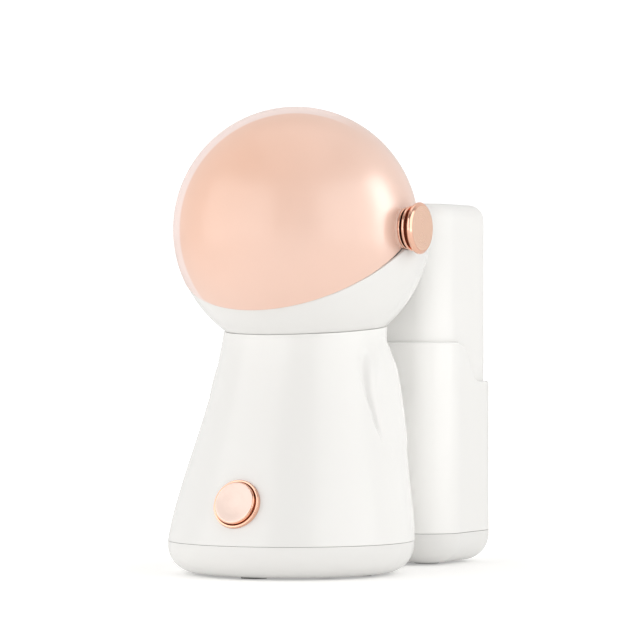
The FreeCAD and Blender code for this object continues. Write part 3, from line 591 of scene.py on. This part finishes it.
def shoulder_reach(dx, dy, half_width, front, back, front_corner, centre):
    """Distance from (0, centre) to the rounded rectangle in direction (dx, dy)."""
    def inside(distance):
        x, y = np.abs(dx * distance), centre + dy * distance
        in_front = y < 0.5 * (front + back)
        corner = np.where(in_front, front_corner, SHOULDER_BACK_CORNER)
        past_x = x - (half_width - corner)
        past_y = np.where(in_front, (front + corner) - y, y - (back - corner))
        outside = np.hypot(np.maximum(past_x, 0), np.maximum(past_y, 0))
        return outside + np.minimum(np.maximum(past_x, past_y), 0) - corner < 0

    return bisect(inside, BODY_SIDES, 0.0, 120.0, 34)


def body_ring(z, inset):
    """Ring of the body at heights z (one per column), drawn in by inset."""
    dx, dy = np.sin(BODY_TURN), -np.cos(BODY_TURN)
    cone = cone_radius(z)
    centre = cone_centre(z)
    shrink = along(SHOULDER_SHRINK, z)
    shoulder = shoulder_reach(
        dx, dy,
        half_width=along(SHOULDER_HALF_WIDTH, z) - shrink,
        front=along(SHOULDER_FRONT, z) + SHOULDER_FRONT_SHIFT,
        back=SHOULDER_BACK - shrink,
        front_corner=along(SHOULDER_FRONT_CORNER, z),
        centre=centre)
    shoulder = np.where(z > SHOULDER_TOP, 0.0, shoulder)
    blend = along(BLEND_WIDTH, z)
    radius = smooth_max(cone, shoulder, blend)
    # beyond the blend the cone stands alone
    radius = np.where(shoulder < cone - blend, cone, radius)
    from_front = np.minimum(BODY_TURN, 2 * math.pi - BODY_TURN)
    arc = (from_front - np.radians(along(VALLEY_DEGREES, z))) * cone
    valley = along(VALLEY_DEPTH, z) * np.exp(-(arc / along(VALLEY_WIDTH, z)) ** 2)
    radius = radius - valley - inset
    return np.stack([dx * radius, centre + dy * radius, z], 1)


def body_shell():
    foot = np.full(BODY_SIDES, SEAM_Z)
    top = np.full(BODY_SIDES, 122.0)
    # the tilted top depends on the radius, which depends on the height
    for _ in range(4):
        top = neck_top(cone_centre(top) - cone_radius(top) * np.cos(BODY_TURN), -0.02)
    low, high = foot + FOOT_EDGE, top - NECK_EDGE
    rings = [body_ring(foot, BODY_WALL)]
    for a in quarter(5):
        z = foot + FOOT_EDGE * (1 - math.cos(a))
        rings.append(body_ring(z, FOOT_EDGE * (1 - math.sin(a))))
    for s in np.linspace(0, 1, 200)[1:-1]:
        rings.append(body_ring(low + s * (high - low), 0.0))
    for a in quarter(6):
        rings.append(body_ring(high + NECK_EDGE * math.sin(a), NECK_EDGE * (1 - math.cos(a))))
    rings.append(body_ring(top, BODY_WALL))
    for s in np.linspace(1, 0, 40)[1:-1]:
        rings.append(body_ring(foot + s * (top - foot), BODY_WALL))
    shell = make("body_shell_skin", *skin(rings, loop=True), "frame", "white_plastic", sharp=60)
    hole = cylinder_tool(BUTTON_CENTRE, BUTTON_OUT, BUTTON_HOLE_RADIUS, -12, 14)
    carve(shell, [hole], sharp=40)
    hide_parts("body_shell")
    return shell


body = body_shell()


# ------------------------------------------------------------------ tank holder
HOLDER_CORNER = 19.0
HOLDER_WALL = 2.4
HOLDER_FLOOR = 68.5                     # top of the floor the tank stands over
HOLDER_UNDERSIDE = 66.0
# the rim is high in front and sweeps down in an S of two equal arcs
RIM_HIGH, RIM_LOW = 115.4, 94.9
SWEEP_START, SWEEP_END = 91.3, 120.0
SWEEP_RADIUS = (((SWEEP_END - SWEEP_START) ** 2 + (RIM_HIGH - RIM_LOW) ** 2)
                / (4 * (RIM_HIGH - RIM_LOW)))
INLET_GAP = 0.1


def rounded_rectangle(half_width, front, back, corner, side_steps, corner_steps, z):
    """Ring of a rounded rectangle with a fixed count and order of points."""
    outline = []
    x, low_y, high_y = half_width - corner, front + corner, back - corner
    corners = [((x, low_y), -90), ((x, high_y), 0), ((-x, high_y), 90), ((-x, low_y), 180)]
    for k, ((centre_x, centre_y), start_angle) in enumerate(corners):
        for step in range(corner_steps + 1):
            a = math.radians(start_angle + 90.0 * step / corner_steps)
            outline.append((centre_x + corner * math.cos(a), centre_y + corner * math.sin(a)))
        (next_x, next_y), next_angle = corners[(k + 1) % 4]
        a = math.radians(next_angle)
        end_x, end_y = next_x + corner * math.cos(a), next_y + corner * math.sin(a)
        start_x, start_y = outline[-1]
        for step in range(1, side_steps):
            f = step / side_steps
            outline.append((start_x + (end_x - start_x) * f, start_y + (end_y - start_y) * f))
    outline = np.array(outline)
    heights = z(outline[:, 1]) if callable(z) else np.full(len(outline), z)
    return np.column_stack([outline, heights])


def rim_height(y):
    middle = 0.5 * (SWEEP_START + SWEEP_END)
    z = np.full(y.shape, RIM_HIGH)
    upper = (y > SWEEP_START) & (y <= middle)
    drop = np.sqrt(SWEEP_RADIUS ** 2 - (y[upper] - SWEEP_START) ** 2)
    z[upper] = RIM_HIGH - SWEEP_RADIUS + drop
    lower = (y > middle) & (y < SWEEP_END)
    rise = np.sqrt(SWEEP_RADIUS ** 2 - (SWEEP_END - y[lower]) ** 2)
    z[lower] = RIM_LOW + SWEEP_RADIUS - rise
    z[y >= SWEEP_END] = RIM_LOW
    return z


def holder_ring(inset, low, share=0.0, rise=0.0):
    """Holder ring a share of the way from low to the rim's rounding, plus a rise."""
    def height(y):
        return low + share * (rim_height(y) - HOLDER_WALL / 2 - low) + rise

    return rounded_rectangle(
        HOLDER_HIGH[0] - inset, HOLDER_FRONT + inset, HOLDER_HIGH[1] - inset,
        HOLDER_CORNER - inset, side_steps=64, corner_steps=28, z=height)


def tank_holder():
    low = SEAM_Z + FOOT_EDGE
    half_wall = HOLDER_WALL / 2
    rings = [holder_ring(HOLDER_WALL, z) for z in (HOLDER_UNDERSIDE, 60.0, SEAM_Z)]
    for a in quarter(5):
        z = SEAM_Z + FOOT_EDGE * (1 - math.cos(a))
        rings.append(holder_ring(FOOT_EDGE * (1 - math.sin(a)), z))
    for s in np.linspace(0, 1, 60)[1:]:
        rings.append(holder_ring(0.0, low, share=s))
    for a in np.linspace(0, math.pi, 13)[1:]:
        inset = half_wall * (1 - math.cos(a))
        rings.append(holder_ring(inset, low, share=1.0, rise=half_wall * math.sin(a)))
    for s in np.linspace(1, 0, 24)[1:]:
        rings.append(holder_ring(HOLDER_WALL, HOLDER_FLOOR, share=s))
    holder = make("tank_holder_skin", *skin(rings), "frame", "white_plastic", sharp=45)

    inlet_low, inlet_high = box_mm("power_inlet")
    half_width = inlet_high[0] + INLET_GAP
    opening = block_tool(
        (-half_width, half_width),
        (HOLDER_HIGH[1] - 6.0, HOLDER_HIGH[1] + 4.0),
        (inlet_low[2] - INLET_GAP, inlet_high[2] + INLET_GAP))
    carve(holder, [opening], sharp=45)
    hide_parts("rear_housing")
    return holder


def rear_bridge():
    """Low block that joins the body to the holder."""
    half_width, front, back = 23.0, 40.0, HOLDER_FRONT + 1.2
    corner, top_edge = 5.0, 4.4

    def ring(side_inset, z, front_inset=0.0):
        return rounded_rectangle(
            half_width - side_inset, front + front_inset, back, corner - front_inset,
            side_steps=8, corner_steps=8, z=z)

    rings = [ring(inset, SEAM_Z + rise) for inset, rise in [(1.0, 0.02), (0.3, 0.3), (0.0, 1.0)]]
    rings += [ring(0.0, z) for z in np.linspace(SEAM_Z + 2, 77.0, 24)]
    for a in quarter(9)[1:]:
        inset = top_edge * (1 - math.cos(a))
        rings.append(ring(inset, 78.6 + top_edge * math.sin(a), front_inset=inset))
    make("rear_bridge_skin", *skin(rings), "frame", "white_plastic", sharp=45)


holder = tank_holder()
rear_bridge()

# ------------------------------------------------------------------ tank
TANK_CORNER = HOLDER_CORNER - 2.8
TANK_FOOT_EDGE = 3
TANK_TOP_EDGE = 8


def tank_ring(inset, z):
    return rounded_rectangle(
        TANK_HIGH[0] - inset, TANK_LOW[1] + inset, TANK_HIGH[1] - inset,
        TANK_CORNER - inset, side_steps=28, corner_steps=24, z=z)


def water_tank():
    low, high = TANK_LOW[2] + TANK_FOOT_EDGE, TANK_HIGH[2] - TANK_TOP_EDGE
    rings = []
    for a in quarter(8):
        z = low - TANK_FOOT_EDGE * math.cos(a)
        rings.append(tank_ring(TANK_FOOT_EDGE * (1 - math.sin(a)), z))
    for z in np.linspace(low, high, 40)[1:-1]:
        rings.append(tank_ring(0.0, z))
    for a in quarter(18):
        z = high + TANK_TOP_EDGE * math.sin(a)
        rings.append(tank_ring(TANK_TOP_EDGE * (1 - math.cos(a)), z))
    made = make("water_tank_skin", *skin(rings), "tank_body", "tank_plastic", sharp=50)
    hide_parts("water_tank")
    return made


tank = water_tank()

# ------------------------------------------------------------------ head bowl
HEAD_SIDES = 320
HEAD_TURN = full_turn(HEAD_SIDES)
BOWL_CENTRE = np.array([0.0, 12.5, 172.2])
BOWL_RADIUS = 64.0
BOWL_FRONT_RADIUS = 67.0                # the bowl reaches further towards -Y
BOWL_WALL = 2.6
BOWL_LEAST_WALL = 0.9                   # left where the inside is hollowed out
RELIEF_RADIUS = 61.85                   # hollow about the pivot, in the rear part
EAR_HOLE_RADIUS = 10.75
# the rim plane of the head, through a point below the pivot and rising to the back
RIM_DROP = -8.6
RIM_SLOPE = 0.70
RIM_BLEND = 5.0                         # softens its turn into the level rear rim
REAR_RIM = 10.0                         # rear rim of the bowl above the pivot


def bowl_distance(direction, inset):
    """Distance from the bowl's centre to its surface along unit directions."""
    radius = BOWL_RADIUS - inset
    radius_y = np.where(direction[:, 1] < 0, BOWL_FRONT_RADIUS - inset, radius)
    across = direction[:, 0] ** 2 + direction[:, 2] ** 2
    return 1.0 / np.sqrt(across / radius ** 2 + direction[:, 1] ** 2 / radius_y ** 2)


def bowl_point(elevation, inset, relief=False):
    direction = np.stack([np.cos(elevation) * np.sin(HEAD_TURN),
                          -np.cos(elevation) * np.cos(HEAD_TURN),
                          np.sin(elevation)], 1)
    distance = bowl_distance(direction, inset)
    if relief:
        outer = bowl_distance(direction, 0.0)
        offset = BOWL_CENTRE - PIVOT
        towards = direction @ offset
        sphere = -towards + np.sqrt(towards ** 2 - (offset @ offset - RELIEF_RADIUS ** 2))
        hollow = BOWL_CENTRE + direction * sphere[:, None]
        # fades in from 13 to 7 mm in front of the pivot
        share = np.clip((hollow[:, 1] - PIVOT[1] + 13.0) / 6.0, 0, 1)
        share = share * share * (3 - 2 * share)
        deeper = np.maximum(distance, distance + (sphere - distance) * share)
        distance = np.minimum(deeper, outer - BOWL_LEAST_WALL)
    return BOWL_CENTRE + direction * distance[:, None]


def below_rim(points):
    slope = RIM_DROP + RIM_SLOPE * (points[:, 1] - PIVOT[1])
    line = smooth_min(slope, REAR_RIM, RIM_BLEND)
    return (points[:, 2] - PIVOT[2]) - line + 0.12 < 0


def below_neck(points):
    return points[:, 2] - neck_top(points[:, 1], 0.02) < 0


def bowl_elevation(below, inset, relief=False):
    """Elevation at which the bowl surface passes a boundary."""
    return bisect(lambda elevation: below(bowl_point(elevation, inset, relief)),
                  HEAD_SIDES, math.radians(-75), math.radians(70), 44)


def head_bowl():
    neck_outer = bowl_elevation(below_neck, 0.0)
    rim_outer = bowl_elevation(below_rim, 0.0)
    neck_inner = bowl_elevation(below_neck, BOWL_WALL)
    rim_inner = bowl_elevation(below_rim, BOWL_WALL, relief=True)
    # edge roundings: an angle along the surface and a depth into the wall
    neck_angle, neck_depth = math.radians(0.13), 0.14
    rim_angle, rim_depth = math.radians(0.6), 0.7
    low, high = neck_outer + neck_angle, rim_outer - rim_angle
    rings = []
    for a in quarter(5):
        elevation = neck_outer + neck_angle * (1 - math.cos(a))
        rings.append(bowl_point(elevation, neck_depth * (1 - math.sin(a))))
    for s in np.linspace(0, 1, 72)[1:-1]:
        rings.append(bowl_point(low + s * (high - low), 0.0))
    for a in quarter(5):
        rings.append(bowl_point(high + rim_angle * math.sin(a), rim_depth * (1 - math.cos(a))))
    for s in np.linspace(1, 0, 40):
        elevation = neck_inner + s * (rim_inner - neck_inner)
        rings.append(bowl_point(elevation, BOWL_WALL, relief=True))
    bowl = make("head_bowl_skin", *skin(rings, loop=True), "frame", "white_plastic", sharp=45)
    holes = [cylinder_tool(PIVOT, (side, 0, 0), EAR_HOLE_RADIUS, 50, 90) for side in (1, -1)]
    carve(bowl, holes, sharp=40)
    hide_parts("head_bowl")


head_bowl()

# ------------------------------------------------------------------ visor and inner head
# both are caps of spheres about the pivot, drawn about the normal of the rim plane
CAP_NORMAL = np.array([0.0, -RIM_SLOPE, 1.0]) / math.hypot(RIM_SLOPE, 1.0)
CAP_SIDE = np.array([1.0, 0.0, 0.0])
CAP_REAR = np.cross(CAP_NORMAL, CAP_SIDE)
CAP_ROWS = 96
CAP_POLE = 0.012                        # share of the cap left to the fan at its pole
RIM_DISTANCE = RIM_DROP * CAP_NORMAL[2]  # rim plane from the pivot
VISOR_RADIUS, VISOR_WALL = 61.6, 2.2
INNER_RADIUS, INNER_WALL = 58.4, 2.4
INNER_REAR_RIM = 3.0                    # rear rim of the inner head above the pivot
VISOR_REAR_PLANE = np.array([0.0, -0.404, 1.0])  # normal of the plane of the rear edge
NOZZLE_TILT = math.radians(12)
NOZZLE_OUT = np.array([0.0, -math.cos(NOZZLE_TILT), math.sin(NOZZLE_TILT)])


def cap_point(angle, radius):
    """Points of a sphere about the pivot, at an angle from the cap normal."""
    around = np.cos(HEAD_TURN)[:, None] * CAP_SIDE + np.sin(HEAD_TURN)[:, None] * CAP_REAR
    direction = np.cos(angle)[:, None] * CAP_NORMAL + np.sin(angle)[:, None] * around
    return PIVOT + direction * radius


def visor_limit():
    """Visor edge: the rim plane, carried down to a second plane at the rear."""
    rim = np.full(HEAD_SIDES, math.acos((RIM_DISTANCE + 0.12) / VISOR_RADIUS))
    rearward = np.sin(HEAD_TURN)
    across = (CAP_REAR @ VISOR_REAR_PLANE) * np.maximum(rearward, 1e-3)
    steepness = (CAP_NORMAL @ VISOR_REAR_PLANE) / across
    rear = np.where(rearward > 1e-3, math.pi - np.arctan(steepness), 0.0)
    return smooth_max(rear, rim, math.radians(0.8))


def inner_limit():
    """Inner head edge: the rim plane, brought down to a level line at the rear."""
    def above(angle):
        point = cap_point(angle, INNER_RADIUS) - PIVOT
        slope = (RIM_DISTANCE + 0.30) / CAP_NORMAL[2] + RIM_SLOPE * point[:, 1]
        return point[:, 2] > smooth_min(slope, INNER_REAR_RIM, RIM_BLEND)

    return bisect(above, HEAD_SIDES, 1.0, 2.45, 40)


def cap_shell(name, radius, wall, limit, edge, body_name, slot):
    """Shell of a sphere from its pole down to limit, with an edge rounding."""
    edge_angle = edge / radius
    reach = limit - edge_angle
    rings = [cap_point(s * reach, radius) for s in np.linspace(CAP_POLE, 1, CAP_ROWS)]
    for a in np.linspace(0, math.pi, 11)[1:]:
        depth = wall / 2 * (1 - math.cos(a))
        rings.append(cap_point(reach + edge_angle * math.sin(a), radius - depth))
    for s in np.linspace(1, CAP_POLE, CAP_ROWS // 2)[1:]:
        rings.append(cap_point(s * reach, radius - wall))
    points, faces = skin(rings)
    # the poles stand on the sphere, not at the mean of their ring
    points[-2] = PIVOT + CAP_NORMAL * radius
    points[-1] = PIVOT + CAP_NORMAL * (radius - wall)
    return make(name, points, faces, body_name, slot, sharp=60)


visor = cap_shell("visor_skin", VISOR_RADIUS, VISOR_WALL, visor_limit(), edge=0.5,
                  body_name="visor_body", slot="peach_visor")
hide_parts("visor")
inner_head = cap_shell("inner_head_skin", INNER_RADIUS, INNER_WALL, inner_limit(),
                       edge=INNER_WALL / 2, body_name="frame", slot="inner_white")
carve(inner_head, [cylinder_tool(PIVOT, NOZZLE_OUT, 15.2, 42, 72)], sharp=45)
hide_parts("inner_head")

# ------------------------------------------------------------------ pivots
# profile columns: radius, distance from the pivot along the axis, corner radius
EAR = [(3.3, 58.6, 0), (10.3, 58.6, 0), (10.3, 61.9, 0.5), (3.3, 61.9, 0)]
KNOB_FLANGE = [
    (0, 62.0, 0), (10.4, 62.0, 0.4), (10.4, 63.1, 0.45), (8.6, 63.1, 0.2), (8.6, 64.5, 0.2),
    (11.2, 64.5, 0.5), (11.2, 65.9, 0.5), (9.2, 65.9, 0.2), (9.2, 67.3, 0), (0, 67.3, 0)]
KNOB_CAP = [
    (0, 67.35, 0), (11.2, 67.35, 0.5), (12.8, 68.6, 0.9), (12.8, 69.9, 1.0),
    (11.5, KNOB_END, 0.4), (11.1, KNOB_END, 0), (0, KNOB_END, 0)]
PIVOT_COVER = [(0, 62.0, 0), (9.6, 62.0, 0.3), (9.6, 63.2, 0.6), (0, 63.2, 0)]
PLUS_X, MINUS_X = (1, 0, 0), (-1, 0, 0)

for side, outward in (("right", PLUS_X), ("left", MINUS_X)):
    lathe("visor_ear_" + side, PIVOT, outward, rounded(EAR, 6), "visor_body", "peach_visor")
# the flange's neck between its rims takes the painted-shade rose gold
knob_flange = lathe(
    "knob_flange_skin", PIVOT, PLUS_X, rounded(KNOB_FLANGE, 8), "visor_body", "rose_gold",
    accent=GROOVE_SHADE, accent_at=lambda r, z: r < 9.9 and z > 63.0)
knob_cap = lathe(
    "knob_cap_skin", PIVOT, PLUS_X, rounded(KNOB_CAP, 9), "visor_body", "rose_gold",
    accent=SATIN_FACE, accent_at=lambda r, z: r < 11.2 and z > KNOB_END - 0.2)
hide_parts("knob_flange")
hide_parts("knob_cap")
pivot_cover = lathe(
    "pivot_cover_skin", PIVOT, MINUS_X, rounded(PIVOT_COVER, 7), "visor_body", "rose_gold",
    accent=SATIN_FACE, accent_at=lambda r, z: r < 8.8 and z > 63.0)
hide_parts("pivot_cover")

# ------------------------------------------------------------------ power button
# profile columns: radius, distance out from the button centre, corner radius
BUTTON_RING = [
    (11.6, -5.0, 0), (12.2, -5.0, 0), (12.2, 1.3, 0.4), (11.0, 1.3, 0.35), (11.0, -5.0, 0),
    (11.59, -5.0, 0)]
BUTTON = [
    (0, -7.0, 0), (2.2, -7.0, 0), (2.2, -3.0, 0), (10.7, -3.0, 0.2), (10.7, 3.25, 0.75),
    (9.3, 3.25, 3.0), (6.0, 2.95, 4.0), (3.0, 2.8, 3.0), (0, 2.76, 0)]

button_ring = lathe("button_ring_skin", BUTTON_CENTRE, BUTTON_OUT, rounded(BUTTON_RING, 7),
                    "frame", "rose_gold")
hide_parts("button_ring")
power_button = lathe(
    "power_button_skin", BUTTON_CENTRE, BUTTON_OUT, rounded(BUTTON, 9), "button_body",
    "rose_gold", sharp=60, accent=BUTTON_FACE, accent_at=lambda r, z: z > 2.5 and r < 9.8)
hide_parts("power_button")

# CAD pieces that stay in sight
for piece in frame["nodes"].values():
    if not piece.hide_render:
        smooth(piece.data, 32)


# ------------------------------------------------------------------ floor and world
def pale_floor():
    """Diffuse floor with a faint glow; the camera sees it brighten with distance."""
    half = 8.0
    mesh = bpy.data.meshes.new("floor")
    corners = [(-half, -half, 0), (half, -half, 0), (half, half, 0), (-half, half, 0)]
    mesh.from_pydata(corners, [], [(0, 1, 2, 3)])
    floor = bpy.data.objects.new("floor", mesh)
    bpy.context.scene.collection.objects.link(floor)

    material, tree = new_material("pale_floor")
    length = node(tree, "VectorMath", {0: object_coords(tree)}, operation="LENGTH")
    strength = map_range(tree, length.outputs["Value"], (0.10, 0.75), (0.25, 1.25))
    diffuse = node(tree, "BsdfDiffuse", {"Color": (0.90, 0.895, 0.885, 1)}).outputs[0]
    seen = node(tree, "Emission", {"Strength": strength}).outputs[0]
    cast = node(tree, "Emission", {"Strength": 0.12}).outputs[0]
    is_camera = node(tree, "LightPath").outputs["Is Camera Ray"]
    glow = mix_shader(tree, is_camera, cast, seen)
    surface = node(tree, "AddShader", {0: diffuse, 1: glow}).outputs[0]
    node(tree, "OutputMaterial", {"Surface": surface})
    mesh.materials.append(material)


def studio_world():
    """White backdrop for the camera; as light, darker on the camera side."""
    world = bpy.data.worlds.new("studio")
    bpy.context.scene.world = world
    tree = empty_tree(world)
    direction = node(tree, "TexCoord").outputs["Generated"]
    strength = map_range(tree, dot(tree, direction, TO_CAMERA), (-0.35, 0.25), (0.85, 0.31),
                         "SMOOTHSTEP")
    seen = node(tree, "Background", {"Color": (1, 1, 1, 1), "Strength": 1.15}).outputs[0]
    room = {"Color": (1.0, 0.995, 0.985, 1), "Strength": strength}
    cast = node(tree, "Background", room).outputs[0]
    is_camera = node(tree, "LightPath").outputs["Is Camera Ray"]
    node(tree, "OutputWorld", {"Surface": mix_shader(tree, is_camera, cast, seen)})


pale_floor()
studio_world()

# ------------------------------------------------------------------ lights, in metres
RIGHT = Vector(VIEW_RIGHT)
NEAR = Vector(TO_CAMERA)
UP = Vector((0, 0, 1))
FOOT = Vector(ROW_SHIFT / 1000.0)
MIDDLE = FOOT + Vector((0, 0.02, 0.12))


def around(degrees, distance, height):
    """Place at an angle to the right of the camera direction."""
    a = math.radians(degrees)
    return MIDDLE + (RIGHT * math.sin(a) + NEAR * math.cos(a)) * distance + UP * height


def area(name, position, *, size, power, color, target=MIDDLE):
    """Rectangular light of (width, height), aimed at target."""
    light = bpy.data.lights.new(name, "AREA")
    light.energy = power
    light.color = color
    light.shape = "RECTANGLE"
    light.size, light.size_y = size
    made = bpy.data.objects.new(name, light)
    made.location = position
    aim = (target - position).normalized()
    made.rotation_euler = aim.to_track_quat("-Z", "Y").to_euler()
    bpy.context.scene.collection.objects.link(made)
    return made


def light_only(light, collection_name, pieces):
    targets = bpy.data.collections.new(collection_name)
    for piece in pieces:
        targets.objects.link(piece)
    light.light_linking.receiver_collection = targets


area("soft_left", around(-58, 1.25, 0.15), size=(1.75, 1.7), power=13.7,
     color=(1, 0.994, 0.98))
area("soft_right", around(54, 1.25, 0.15), size=(1.55, 1.7), power=12.3,
     color=(1, 0.996, 0.985))
strip = area("strip_right", around(93, 1.15, 0.16), size=(0.46, 1.25), power=11.0,
             color=(1, 0.995, 0.98), target=MIDDLE + UP * 0.05)
strip.visible_diffuse = False
light_only(strip, "strip_targets", (visor, knob_flange))
tank_fill = area("tank_fill", around(-3, 1.30, 0.12), size=(0.6, 0.7), power=4.4,
                 color=(1, 0.998, 0.99))
tank_fill.visible_glossy = False
light_only(tank_fill, "fill_targets", (holder, tank))
side_fill = area("side_fill", around(88, 1.25, 0.14), size=(0.9, 1.0), power=2.6,
                 color=(1, 0.998, 0.99))
side_fill.visible_glossy = False
light_only(side_fill, "side_targets", (body,))
area("soft_top", MIDDLE + NEAR * 0.1 + UP * 1.4, size=(1.2, 1.2), power=2.6,
     color=(1, 1, 1))


# ------------------------------------------------------------------ camera
def add_camera():
    scene = bpy.context.scene
    lens = bpy.data.cameras.new("camera")
    lens.sensor_width = 36.0
    lens.lens = 208.9
    lens.clip_start = 0.05
    lens.clip_end = 50
    camera = bpy.data.objects.new("camera", lens)
    camera.location = FOOT + RIGHT * 0.0145 + NEAR * 1.857 + UP * 0.12675
    camera.rotation_euler = (math.radians(90), 0, CAMERA_TURN)
    scene.collection.objects.link(camera)
    scene.camera = camera
    scene.view_settings.view_transform = "Standard"
    scene.view_settings.look = "None"


add_camera()
